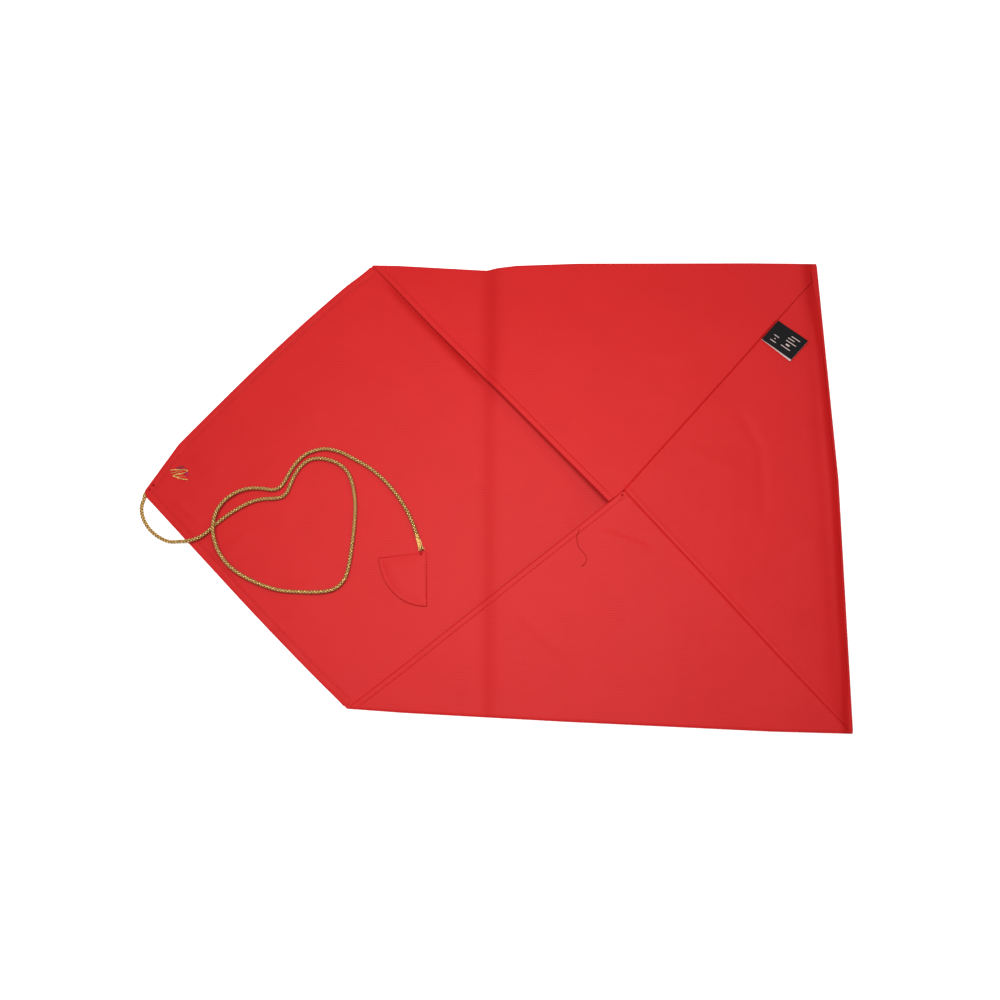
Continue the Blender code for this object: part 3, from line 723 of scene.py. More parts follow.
def edge_strip(shape, corners, section, height, skips, step=0.001, tint=0):
    """A band along the left of a path: section(run) gives its outline as pairs of the distance from
    the path and the rise over the cloth. It narrows almost to nothing at its two ends."""
    corners = [np.asarray(corner, dtype=float) for corner in corners]
    lengths = [np.linalg.norm(end - start) for start, end in zip(corners, corners[1:])]
    total = sum(lengths)
    run = np.linspace(skips[0], total - skips[1], max(4, round((total - sum(skips)) / step)))
    start = along_path(corners, run / total)
    along = np.gradient(start, axis=0)
    along /= np.linalg.norm(along, axis=1, keepdims=True)
    for _ in range(3):
        along[1:-1] = (along[:-2] + along[1:-1] * 2 + along[2:]) / 4
    along /= np.linalg.norm(along, axis=1, keepdims=True)
    inward = np.stack([-along[:, 1], along[:, 0]], -1)
    outline = section(run)
    taper = smooth((run - run[0]) / 0.0015 + 0.1) * smooth((run[-1] - run) / 0.0015 + 0.1)
    middle = outline.mean(axis=1, keepdims=True)
    outline = middle + (outline - middle) * taper[:, None, None]
    plan = start[:, None] + inward[:, None] * outline[..., :1]
    rings = settled(plan, height(plan) + outline[..., 1])
    way = np.concatenate([outline[0, :, 0], outline[0, :1, 0]])
    add_loft(shape, rings, run, tint, way)


def outlines(run, outline):
    """The same outline, or one that changes along the run, for each point of a run."""
    return np.stack([np.stack([inside + 0.0 * run, rise + 0.0 * run], -1)
                     for inside, rise in outline], 1)


def add_stitches(shape, line, inside, height, settings, skips, lift, seed=0.0):
    """A row of single stitches to the left of a line, each an arched bit of thread."""
    start, end = (np.asarray(point, dtype=float) for point in line)
    along = direction(start, end)
    inward = np.array([-along[1], along[0]])
    length = np.linalg.norm(end - start) - sum(skips)
    count = int(length / settings.stitch_pitch)
    arch = np.linspace(-1.0, 1.0, 7)
    for number in range(count):
        wobble = math.sin(number * 12.9898 + seed) * math.cos(number * 4.1414 + seed * 2)
        run = skips[0] + (number + 0.5) * settings.stitch_pitch + wobble * 0.00010
        reach = settings.stitch_pitch * (0.36 + 0.03 * wobble)
        tilt = 0.00007 * math.sin(number * 7.7 + seed)
        spots = start + along * run + inward * (inside + 0.00006 * wobble)
        plan = spots + arch[:, None] * (along * reach + inward * tilt)
        rise = lift - 0.00030 * np.abs(arch) ** 4
        points = settled(plan, height(plan) + rise)
        radius = settings.thread / 2 * (1.0 - 0.35 * np.abs(arch) ** 3)
        add_tube(shape, points, radius, 6)


def add_wraps(shape, centre, heading, count, width, spacing, height, radius):
    """A bar tack: threads laid side by side across a heading."""
    heading = np.asarray(heading)
    side = np.array([-heading[1], heading[0]])
    arch = np.linspace(-1.0, 1.0, 9)
    for number in range(count):
        off = (number - (count - 1) / 2) * spacing
        lean = 0.00018 * math.sin(number * 2.3)
        plan = centre + heading * (off + lean * arch[:, None]) + side * arch[:, None] * width / 2
        rise = 0.00028 * (1.0 - np.abs(arch) ** 3.0) - 0.00014
        points = np.concatenate([plan, (height(plan) + rise)[:, None]], axis=-1)
        add_tube(shape, points, radius * (1.0 - 0.3 * np.abs(arch) ** 4), 6)


# ---------------------------------------------------------------- node groups and materials

def new_group(name, inputs, outputs):
    """An empty shader node group with named sockets: (name, type, default)."""
    group = bpy.data.node_groups.new(name, "ShaderNodeTree")
    for label, kind, value in inputs:
        socket = group.interface.new_socket(name=label, in_out="INPUT", socket_type=kind)
        if value is not None:
            socket.default_value = value
    for label, kind in outputs:
        group.interface.new_socket(name=label, in_out="OUTPUT", socket_type=kind)
    return group, group.nodes.new("NodeGroupInput"), group.nodes.new("NodeGroupOutput")


def add_node(tree, kind, links=(), **values):
    """A node with its properties set and its inputs linked: (input, output socket) pairs."""
    node = tree.nodes.new(kind)
    for key, value in values.items():
        setattr(node, key, value)
    for name, source in links:
        if isinstance(source, bpy.types.NodeSocket):
            tree.links.new(source, node.inputs[name])
        else:
            node.inputs[name].default_value = source
    return node


def calculate(tree, operation, *sources):
    """A math node's result."""
    node = add_node(tree, "ShaderNodeMath", list(enumerate(sources)), operation=operation)
    return node.outputs[0]


def build_weave_group():
    """Ribs along the cloth and finer yarns across them, as a height and a shade."""
    group, given, result = new_group(
        "Ribbed weave",
        [("Place", "NodeSocketVector", None), ("Rib pitch", "NodeSocketFloat", 1.2 * MM),
         ("Yarn pitch", "NodeSocketFloat", 0.42 * MM)],
        [("Height", "NodeSocketFloat"), ("Shade", "NodeSocketFloat")])
    take = given.outputs
    wander = add_node(group, "ShaderNodeTexNoise", [("Vector", take["Place"]), ("Scale", 60.0),
                                                    ("Detail", 2.0)])
    shift = calculate(group, "MULTIPLY", wander.outputs["Fac"], 1.2 * MM)
    parts = add_node(group, "ShaderNodeSeparateXYZ", [("Vector", take["Place"])])
    across_rib = calculate(group, "ADD", parts.outputs["Y"], shift)
    ribs = calculate(group, "SINE", calculate(
        group, "DIVIDE", calculate(group, "MULTIPLY", across_rib, TURN), take["Rib pitch"]))
    yarns = calculate(group, "SINE", calculate(
        group, "DIVIDE", calculate(group, "MULTIPLY", parts.outputs["X"], TURN), take["Yarn pitch"]))
    patchy = add_node(group, "ShaderNodeTexNoise", [("Vector", take["Place"]), ("Scale", 38.0),
                                                    ("Detail", 3.0)])
    strength = add_node(group, "ShaderNodeMapRange", [
        ("Value", patchy.outputs["Fac"]), ("From Min", 0.40), ("From Max", 0.66),
        ("To Min", 0.12), ("To Max", 1.0)])
    ribbed = calculate(group, "MULTIPLY", ribs, strength.outputs["Result"])
    total = calculate(group, "ADD", ribbed, calculate(group, "MULTIPLY", yarns, 0.30))
    group.links.new(total, result.inputs["Height"])
    shade = calculate(group, "MULTIPLY_ADD", total, 0.5, 0.5)
    group.links.new(shade, result.inputs["Shade"])
    return group


def build_mottle_group():
    """Uneven dye: a colour that drifts between two others, with fine specks."""
    group, given, result = new_group(
        "Uneven colour",
        [("Place", "NodeSocketVector", None), ("Colour", "NodeSocketColor", None),
         ("Deep", "NodeSocketColor", None), ("Patch scale", "NodeSocketFloat", 14.0),
         ("Amount", "NodeSocketFloat", 0.2), ("Shade", "NodeSocketFloat", 0.5)],
        [("Colour", "NodeSocketColor")])
    take = given.outputs
    broad = add_node(group, "ShaderNodeTexNoise", [
        ("Vector", take["Place"]), ("Scale", take["Patch scale"]), ("Detail", 4.0)])
    fine = add_node(group, "ShaderNodeTexNoise", [
        ("Vector", take["Place"]), ("Scale", 1400.0), ("Detail", 1.0)])
    uneven = calculate(group, "ADD", broad.outputs["Fac"],
                       calculate(group, "MULTIPLY", fine.outputs["Fac"], 0.35))
    uneven = calculate(group, "SUBTRACT", uneven, take["Shade"])
    mask = calculate(group, "MULTIPLY", calculate(group, "ABSOLUTE", uneven), take["Amount"])
    mix = add_node(group, "ShaderNodeMix", data_type="RGBA")
    group.links.new(mask, mix.inputs["Factor"])
    group.links.new(take["Colour"], mix.inputs[6])
    group.links.new(take["Deep"], mix.inputs[7])
    group.links.new(mix.outputs[2], result.inputs["Colour"])
    return group


def build_twist_group():
    """Fibres that wind round a yarn: slanting stripes, as a height."""
    group, given, result = new_group(
        "Twisted fibres",
        [("Place", "NodeSocketVector", None), ("Pitch", "NodeSocketFloat", 1.0 * MM),
         ("Fibres", "NodeSocketFloat", 5.0)],
        [("Height", "NodeSocketFloat"), ("Shade", "NodeSocketFloat")])
    take = given.outputs
    parts = add_node(group, "ShaderNodeSeparateXYZ", [("Vector", take["Place"])])
    forward = calculate(group, "DIVIDE", parts.outputs["X"], take["Pitch"])
    turned = calculate(group, "MULTIPLY_ADD", parts.outputs["Y"], take["Fibres"], forward)
    stripes = calculate(group, "SINE", calculate(group, "MULTIPLY", turned, TURN))
    group.links.new(stripes, result.inputs["Height"])
    group.links.new(calculate(group, "MULTIPLY_ADD", stripes, 0.5, 0.5), result.inputs["Shade"])
    return group


def group_node(tree, group, links):
    """A node that holds a shared group, with its inputs linked or set."""
    return add_node(tree, "ShaderNodeGroup", links, node_tree=group)


def shared_group(name, build):
    """A shared group, built the first time it is needed."""
    return bpy.data.node_groups.get(name) or build()


def mix_in_painted_shade(tree, colour, deeper):
    """The colour, turning into a deeper one where the mesh notes painted shade."""
    noted = add_node(tree, "ShaderNodeAttribute", attribute_name="PaintedShade")
    mix = add_node(tree, "ShaderNodeMix", data_type="RGBA")
    tree.links.new(noted.outputs["Fac"], mix.inputs["Factor"])
    tree.links.new(colour, mix.inputs[6])
    mix.inputs[7].default_value = (*deeper, 1.0)
    return mix.outputs[2], noted.outputs["Fac"]


def start_material(name, roughness, metallic=0.0, sheen=0.0, sheen_tint=(1.0, 1.0, 1.0),
                   specular=0.5):
    """A material with its plain values set on its own shader, and the place of its cloth."""
    material = bpy.data.materials.new(name)
    material.use_nodes = True
    tree = material.node_tree
    shader = tree.nodes["Principled BSDF"]
    shader.inputs["Roughness"].default_value = roughness
    shader.inputs["Metallic"].default_value = metallic
    shader.inputs["Sheen Weight"].default_value = sheen
    shader.inputs["Sheen Roughness"].default_value = 0.45
    shader.inputs["Sheen Tint"].default_value = (*sheen_tint, 1.0)
    shader.inputs["Specular IOR Level"].default_value = specular
    place = add_node(tree, "ShaderNodeUVMap", uv_map="Place").outputs["UV"]
    return material, tree, shader, place


def finish_material(tree, shader, colour, height, relief, roughness=None):
    """Links a material's colour, bump and roughness to its shader."""
    bump = add_node(tree, "ShaderNodeBump", [("Height", height), ("Distance", relief),
                                             ("Strength", 1.0)])
    tree.links.new(bump.outputs["Normal"], shader.inputs["Normal"])
    tree.links.new(colour, shader.inputs["Base Color"])
    if roughness is not None:
        tree.links.new(roughness, shader.inputs["Roughness"])


def cloth_material(name, colour, deep, painted_shade_colour, settings, relief=0.025 * MM, sheen=0.04,
                   sheen_tint=(1.0, 0.62, 0.66), yarn_pitch=0.42 * MM, rib_pitch=None,
                   specular=0.28):
    """Woven cloth: ribs, uneven dye, and a roughness that follows the ribs."""
    if name in bpy.data.materials:
        return bpy.data.materials[name]
    material, tree, shader, place = start_material(name, 0.62, sheen=sheen,
                                                   sheen_tint=sheen_tint, specular=specular)
    weave = group_node(tree, shared_group("Ribbed weave", build_weave_group), [
        ("Place", place), ("Rib pitch", rib_pitch or settings.rib_pitch),
        ("Yarn pitch", yarn_pitch)])
    dye = group_node(tree, shared_group("Uneven colour", build_mottle_group), [
        ("Place", place), ("Colour", (*colour, 1.0)), ("Deep", (*deep, 1.0)),
        ("Patch scale", 11.0), ("Amount", 0.30), ("Shade", weave.outputs["Shade"])])
    rough = add_node(tree, "ShaderNodeMapRange", [("Value", weave.outputs["Shade"]),
                                                  ("To Min", 0.70), ("To Max", 0.54)])
    # Painted shade: deeper colour, and rougher cloth, where the mesh notes shade
    tinted, painted_shade_share = mix_in_painted_shade(tree, dye.outputs["Colour"], painted_shade_colour)
    matt = calculate(tree, "MULTIPLY_ADD", painted_shade_share, 0.3, rough.outputs["Result"])
    finish_material(tree, shader, tinted, weave.outputs["Height"], relief, matt)
    return material


def yarn_material(name, colour, deep, roughness, metallic=0.0, pitch=1.0 * MM, fibres=4.0,
                  relief=0.03 * MM, amount=0.5, sheen=0.1, specular=0.5):
    """Twisted yarn or thread: slanting fibres and an uneven colour."""
    if name in bpy.data.materials:
        return bpy.data.materials[name]
    material, tree, shader, place = start_material(name, roughness, metallic, sheen,
                                                   specular=specular)
    twist = group_node(tree, shared_group("Twisted fibres", build_twist_group), [
        ("Place", place), ("Pitch", pitch), ("Fibres", fibres)])
    dye = group_node(tree, shared_group("Uneven colour", build_mottle_group), [
        ("Place", place), ("Colour", (*colour, 1.0)), ("Deep", (*deep, 1.0)),
        ("Patch scale", 420.0), ("Amount", amount), ("Shade", twist.outputs["Shade"])])
    rough = add_node(tree, "ShaderNodeMapRange", [
        ("Value", twist.outputs["Shade"]), ("To Min", roughness + 0.12), ("To Max", roughness)])
    # Painted shade: half the deep colour where the mesh notes shade, as on the cord's strands
    shaded, _ = mix_in_painted_shade(tree, dye.outputs["Colour"], [part * 0.5 for part in deep])
    finish_material(tree, shader, shaded, twist.outputs["Height"], relief, rough.outputs["Result"])
    return material


def red_cloth(context):
    cloth = context.scene.wrap_cloth
    return cloth_material("Red ribbed cloth", tuple(cloth.colour), tuple(cloth.shaded),
                          tuple(cloth.painted_shade_tint), cloth)


def red_thread(context):
    cloth = context.scene.wrap_cloth
    return yarn_material("Red sewing thread", tuple(cloth.thread_colour), tuple(cloth.shaded),
                         0.62, pitch=0.5 * MM, fibres=2.0, relief=0.02 * MM, sheen=0.0,
                         specular=0.12)


def gold_yarn(context):
    cord = context.scene.wrap_cord
    return yarn_material("Gold yarn", tuple(cord.gold), tuple(cord.brown), 0.31, 0.72,
                         pitch=0.9 * MM, fibres=3.0, relief=0.04 * MM, amount=0.35)


def brown_core(context):
    cord = context.scene.wrap_cord
    return yarn_material("Brown cord core", tuple(cord.brown), (0.03, 0.013, 0.004), 0.7,
                         pitch=0.7 * MM, fibres=6.0)


def black_satin(context):
    label = context.scene.wrap_label
    return cloth_material("Black satin ribbon", tuple(label.black), (0.020, 0.019, 0.021),
                          tuple(label.black), context.scene.wrap_cloth, 0.010 * MM, 0.0,
                          (0.9, 0.9, 1.0), 0.30 * MM, 0.36 * MM, 0.06)


def pale_ribbon(context):
    label = context.scene.wrap_label
    return cloth_material("Pale ribbon reverse", tuple(label.pale), (0.50, 0.26, 0.26),
                          tuple(label.pale), context.scene.wrap_cloth, 0.012 * MM, 0.10,
                          (1.0, 0.9, 0.9), 0.30 * MM, 0.36 * MM, 0.4)


def place_on(piece, body, material_slot, *nodes):
    """The piece rides on a body and stands for CAD nodes. material_slot is not used."""
    if body == "fold":
        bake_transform(piece)
    else:
        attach(piece, body)
    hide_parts(*nodes)


# ---------------------------------------------------------------- operators

class WRAP_OT_stage(bpy.types.Operator):
    """Floor, soft studio light and camera"""
    bl_idname = "wrap.stage"
    bl_label = "Stage"

    def execute(self, context):
        stage = context.scene.wrap_stage
        spots = np.linspace(-FLOOR_SIDE / 2, FLOOR_SIDE / 2, 9)
        grid = np.stack(np.meshgrid(spots, spots), -1)
        middle = np.concatenate([grid, level(TABLE_TOP - FLOOR_THICKNESS / 2)(grid)[..., None]], -1)
        shape = Shape()
        add_sheet(shape, middle, grid, FLOOR_THICKNESS)
        floor = shape.piece("floor", [self.floor_material(tuple(stage.floor))])

        lights = (("main_light", (-0.01, 0.0, 0.60), stage.key, 0.42),
                  ("side_light", (1.3, 1.2, 1.5), stage.key * 1.2, 0.7))
        for name, place, power, width in lights:
            data = bpy.data.lights.new(name, "AREA")
            data.energy = power
            data.size = width
            light = bpy.data.objects.new(name, data)
            light.location = place
            light.visible_camera = False
            aim = Vector((0.0, 0.0, 0.0)) - Vector(place)
            light.rotation_euler = aim.to_track_quat("-Z", "Y").to_euler()
            context.scene.collection.objects.link(light)

        world = bpy.data.worlds.new("Studio surroundings")
        world.use_nodes = True
        background = world.node_tree.nodes["Background"]
        background.inputs["Color"].default_value = (1.0, 1.0, 1.0, 1.0)
        background.inputs["Strength"].default_value = stage.fill
        context.scene.world = world
        context.scene.view_settings.view_transform = "Standard"

        data = bpy.data.cameras.new("camera")
        data.lens = stage.lens
        data.sensor_width = 36.0
        camera = bpy.data.objects.new("camera", data)
        camera.location = stage.camera_place
        aim = Vector(stage.camera_aim) - Vector(stage.camera_place)
        turn = aim.to_track_quat("-Z", "Y") @ Quaternion((0.0, 0.0, 1.0), stage.camera_roll)
        camera.rotation_euler = turn.to_euler()
        context.scene.collection.objects.link(camera)
        context.scene.camera = camera
        return {"FINISHED"}

    def floor_material(self, colour):
        """Pale and matt, with a glow of its own that keeps it near white."""
        material, tree, shader, place = start_material("Pale floor", 0.85, specular=0.1)
        grain = add_node(tree, "ShaderNodeTexNoise", [("Vector", place), ("Scale", 300.0)])
        dye = group_node(tree, shared_group("Uneven colour", build_mottle_group), [
            ("Place", place), ("Colour", (*colour, 1.0)), ("Deep", (0.88, 0.88, 0.88, 1.0)),
            ("Patch scale", 3.0), ("Amount", 0.1), ("Shade", 0.5)])
        finish_material(tree, shader, dye.outputs["Colour"], grain.outputs["Fac"], 0.01 * MM)
        shader.inputs["Emission Color"].default_value = (1.0, 1.0, 1.0, 1.0)
        shader.inputs["Emission Strength"].default_value = 0.5
        return material


class WRAP_OT_cord(bpy.types.Operator):
    """Braided tie cord from the flap's tip to the tab, and its flared end"""
    bl_idname = "wrap.cord"
    bl_label = "Tie cord"

    def strands(self, shape, line, run, settings, grow):
        """Strands that wind both ways over and under each other, with painted shade where they pass
        under, at their rims and down the cord's sides. grow widens the braid."""
        radius = settings.diameter / 2
        thick, wide, weave = radius * 0.22, radius * 0.36, radius * 0.17
        centre_radius = radius - thick - weave
        along = np.gradient(line, axis=0)
        along /= np.linalg.norm(along, axis=1, keepdims=True)
        side = np.cross(along, [0.0, 0.0, 1.0])
        side /= np.linalg.norm(side, axis=1, keepdims=True)
        above = np.cross(side, along)
        each_way = settings.strands
        crossing = np.cos(TURN * each_way * run / settings.lay)
        ring = TURN * np.arange(6) / 6
        rim = np.abs(np.sin(ring))[None, :] ** 2 * 0.5
        for way in (1, -1):
            under = smooth(0.20 - 1.3 * way * crossing)[:, None]
            for number in range(each_way):
                angle = TURN * (way * run / settings.lay + number / each_way)
                outward = side * np.cos(angle)[:, None] + above * np.sin(angle)[:, None]
                reach = (centre_radius + way * weave * crossing) * grow
                centre = line + outward * reach[:, None]
                heading = np.gradient(centre, axis=0)
                heading /= np.linalg.norm(heading, axis=1, keepdims=True)
                beside = np.cross(heading, outward)
                beside /= np.linalg.norm(beside, axis=1, keepdims=True)
                rings = centre[:, None] + outward[:, None] * (
                    np.cos(ring)[None, :, None] * thick) + beside[:, None] * (
                    np.sin(ring)[None, :, None] * wide * grow[:, None, None])
                # Painted shade: deeper where a strand faces down or sideways, where it passes under, and
                # at its rims
                low = 1.0 - smooth((np.sin(angle) - 0.05) / 0.50)[:, None]
                depth = 1.0 - (1.0 - 0.80 * low) * (1.0 - under) * (1.0 - rim)
                add_loft(shape, rings, run, depth=depth)
        add_tube(shape, line, (centre_radius - thick * 1.3) * grow, 6, 1)

    def execute(self, context):
        settings = context.scene.wrap_cord
        origin = np.array([FOLD.x, FOLD.y, 0.0])
        line, run = smooth_line(np.array(CORD_ROUTE) + origin, 0.00031)
        shape = Shape()
        grow = 0.92 + 0.08 * smooth(run / 0.0025)
        self.strands(shape, line, run, settings, grow)
        cord = shape.piece("gold_tie_cord", [gold_yarn(context), brown_core(context)])
        place_on(cord, "fold", "gold_cord", "cord_on_flap", "cord_over_pocket")

        flared_length = 0.0212
        braided = 0.0120
        ahead = np.array([math.cos(FLARED_HEADING), math.sin(FLARED_HEADING), 0.0])
        straight = np.linspace(-0.0006, braided, 32)
        end_line = np.array(line[-1]) + straight[:, None] * ahead
        shape = Shape()
        self.strands(shape, end_line, run[-1] + straight, settings,
                     1.0 + 0.15 * smooth(straight / braided))
        self.fray(shape, np.array(line[-1]), ahead, braided - 0.0035, flared_length)
        flared = shape.piece("gold_cord_flared_end", [gold_yarn(context), brown_core(context)])
        place_on(flared, "tab", "gold_cord", "cord_flared_end")
        return {"FINISHED"}

    def fray(self, shape, start, ahead, first, last):
        """Unravelled yarns that fan out from the braid and part into two ends at the tab."""
        side = np.array([-ahead[1], ahead[0], 0.0])
        upward = np.array([0.0, 0.0, 1.0])
        share = np.linspace(0.0, 1.0, 26)
        count = 22
        for number in range(count):
            angle = TURN * number / count + 0.9 * share
            layer = 0.55 + 0.45 * (number % 3) / 2
            spread = (0.00120 + 0.00030 * smooth(share * 1.2)) * layer
            fork = 0.00080 * smooth((share - 0.72) / 0.28) * (1.0 if number % 2 else -1.0)
            wave = 0.00012 * np.sin(TURN * share * 2.3 + number)
            reach = first + (last - first) * share * (1.0 - 0.10 * abs(math.sin(number * 2.3)))
            flat = 1.0 - 0.35 * share
            line = (start + ahead * reach[:, None]
                    + side * (np.cos(angle) * spread + fork + wave)[:, None]
                    + upward * (np.sin(angle) * spread * flat - 0.0002 * share)[:, None])
            add_tube(shape, line, 0.00030 - 0.00012 * share ** 3, 6, 1 if number % 3 == 0 else 0)


class WRAP_OT_tab(bpy.types.Operator):
    """Quarter-round tab of doubled cloth on the cord's end"""
    bl_idname = "wrap.tab"
    bl_label = "Tab"

    def leaf(self, name, radius, rise, puff, context):
        """One layer of the tab, from its corner out to its round edge."""
        corner = np.array([TAB_HIGH.x - radius * math.cos(TAB_HEADING + TAB_SWEEP), TAB_HIGH.y])
        reach = np.concatenate([[0.0006, 0.0014, 0.0024], spaced(radius - 0.0034, 0.0009,
                                EDGE_STEPS[:3], EDGE_STEPS[:9]) + 0.0034])
        turn = np.linspace(0.0, 1.0, 61)
        turn = turn - 0.27 * np.sin(TURN * turn) / TURN
        angle = TAB_HEADING + TAB_SWEEP * turn
        heading = np.stack([np.cos(angle), np.sin(angle)], -1)
        plan = corner + reach[:, None, None] * heading[None] * TAB_SCALE
        to_side = reach[:, None] * np.sin(TAB_SWEEP * np.minimum(turn, 1.0 - turn))[None]
        to_arc = (radius - reach)[:, None] + 0.0 * to_side
        inside = np.minimum(to_side, to_arc)
        soft = puff * smooth(inside / 0.010) + 0.00022 * round_over(inside, 0.0011)
        hem = -0.00009 * bell((to_arc - 0.0026) / 0.0009) * smooth(to_side / 0.003)
        uneven = 0.00018 * rumple(plan, 0.024, 5.0) * smooth(inside / 0.004)
        height = rise + soft + hem + uneven
        shape = Shape()
        middle = np.concatenate([plan, height[..., None]], -1)
        add_sheet(shape, middle, plan, context.scene.wrap_cloth.thickness)
        return shape.piece(name, [red_cloth(context)]), corner, plan, height

    def execute(self, context):
        cord, cloth = context.scene.wrap_cord, context.scene.wrap_cloth
        radius = cord.tab_radius
        back, corner, _, _ = self.leaf("tab_back", radius, 0.00102, 0.0, context)
        place_on(back, "tab", "red_cloth", "tab_back_leaf")
        front, corner, plan, height = self.leaf("tab_front", radius, 0.00150, 0.00062, context)
        place_on(front, "tab", "red_cloth", "tab_front_leaf")
        flat = (float(np.ptp(plan[..., 0])), float(np.ptp(plan[..., 1])))

        shape = Shape()
        first = np.array([math.cos(TAB_HEADING), math.sin(TAB_HEADING)])
        last_angle = TAB_HEADING + TAB_SWEEP
        last = np.array([math.cos(last_angle), math.sin(last_angle)])
        inner = corner + (first + last) * 0.0036
        add_wraps(shape, inner - last * 0.0022 + first * 0.0006, first, 3, 0.0022, 0.00055,
                  level(0.00215), cloth.thread / 2)
        for start, heading, count in ((corner + last * 0.0012, first, 15),
                                      (corner + first * 0.0012, last, 15)):
            self.edge_stitches(shape, start, heading, count, cloth)
        stitches = shape.piece("tab_stitches", [red_thread(context)])
        place_on(stitches, "tab", "red_thread", "tab_tack")
        return {"FINISHED"}

    def edge_stitches(self, shape, start, heading, count, cloth):
        """Small stitches just inside one of the tab's straight edges."""
        arch = np.linspace(-1.0, 1.0, 5)
        for number in range(count):
            run = 0.0030 + number * cloth.stitch_pitch * 1.08
            plan = start + heading * run + arch[:, None] * heading * 0.00066
            rise = 0.00200 - 0.00022 * np.abs(arch) ** 4
            points = np.concatenate([plan, rise[:, None]], -1)
            add_tube(shape, points, cloth.thread / 2 * 0.8, 6)


class WRAP_OT_cloth(bpy.types.Operator):
    """Back panel, closing flap and the three front panels"""
    bl_idname = "wrap.cloth"
    bl_label = "Cloth panels"

    def execute(self, context):
        settings = context.scene.wrap_cloth
        red, cell, thickness = red_cloth(context), settings.cell, settings.thickness
        plan = self.ground_plan(settings.cell * 1.75)
        cloth = cloth_piece("back_and_flap_cloth", plan, back_height, red, thickness)
        place_on(cloth, "fold", "red_cloth", "back_panel", "closing_flap")
        declare_sheet([UPPER_LEFT, SHOULDER, TIP, LOWER_LEFT, LOWER_RIGHT, SIDE_MIDDLE,
                              UPPER_RIGHT])

        lap = SEAM_LAP
        beside_up = np.array([-1.0, 1.0]) * lap * 0.7
        beside_down = np.array([-1.0, -1.0]) * lap * 0.7
        foot = ROLL_FOOT + direction(MOUTH, ROLL_FOOT) * 0.0042
        neck = ROLL_NECK + direction(MOUTH, ROLL_NECK) * 0.0042
        panels = [
            ("upper", upper_height, [FLANGE_UPPER, ROLL_NECK, MOUTH], [UPPER_LEFT, MOUTH_CORNER]),
            ("lower", lower_height, [LOWER_LEFT, MOUTH + [-0.0016, -0.0014]],
             [LOWER_RIGHT, ROLL_FOOT, MOUTH + [0.0012, -0.0010]]),
            ("side", side_height, [foot, MOUTH + beside_down], [neck, MOUTH + beside_up]),
        ]
        for name, height, left_path, right_path in panels:
            plan = panel_plan(left_path, right_path, cell)
            if name == "side":
                plan = self.lapped(plan, lap)
            panel = cloth_piece(f"{name}_front_cloth", plan, height, red, thickness)
            place_on(panel, "pocket", "red_cloth", f"{name}_front_panel")
            declare_sheet([*left_path, *right_path[::-1]])
        return {"FINISHED"}

    def lapped(self, plan, lap):
        """Moves the side panel's two seam edges outwards, under the panels beside it, and its
        outer edge out to the side fold's curve."""
        columns = np.linspace(0.0, 1.0, plan.shape[1])
        outward = 1.0 - smooth(np.minimum(columns, 1.0 - columns) * 12.0)
        towards = np.where(columns < 0.5, -1.0, 1.0) * outward * lap
        plan = plan + towards[None, :, None] * np.array([0.0, 1.0])
        near_side = 1.0 - smooth(np.linspace(0.0, 6.0, plan.shape[0]))[:, None]
        plan[..., 0] += near_side * side_bulge(plan[..., 1])
        return plan

    def ground_plan(self, cell):
        """Rows across the whole cloth that lies on the table, from the flap's tip to the side fold.
        They are close together where the flap bends."""
        reach = FOLD_X - TIP[0]
        bend_rows = np.arange(0.0, 0.0156, 0.0006)
        x = (FOLD_X - spaced(reach - 0.0004, cell, bend_rows, EDGE_STEPS[:6]))[::-1]
        low_y = np.interp(x, [TIP[0], LOWER_LEFT[0]], [TIP[1], LOWER_LEFT[1]])
        high_y = np.interp(x, [TIP[0], SHOULDER[0], UPPER_LEFT[0]],
                           [TIP[1], SHOULDER[1], UPPER_LEFT[1]])
        width = LOWER_RIGHT[0] - LOWER_LEFT[0]
        share = spaced(width, cell, np.array([0.0]), EDGE_STEPS)[1:, None] / width
        low = np.concatenate([np.stack([x, low_y], -1), LOWER_LEFT + (LOWER_RIGHT - LOWER_LEFT) * share])
        high = np.concatenate([np.stack([x, high_y], -1),
                               UPPER_LEFT + (UPPER_RIGHT - UPPER_LEFT) * share])
        plan = grid_between(low, high, cell)
        side = [LOWER_RIGHT, SIDE_MIDDLE, UPPER_RIGHT]
        edge_x = np.interp(plan[..., 1], [corner[1] for corner in side], [corner[0] for corner in side])
        straight_x = np.interp(plan[..., 1], [side[0][1], side[2][1]], [side[0][0], side[2][0]])
        along = np.concatenate([np.zeros((len(x), 1)), share])
        plan[..., 0] += (edge_x - straight_x) * smooth(along)
        return plan


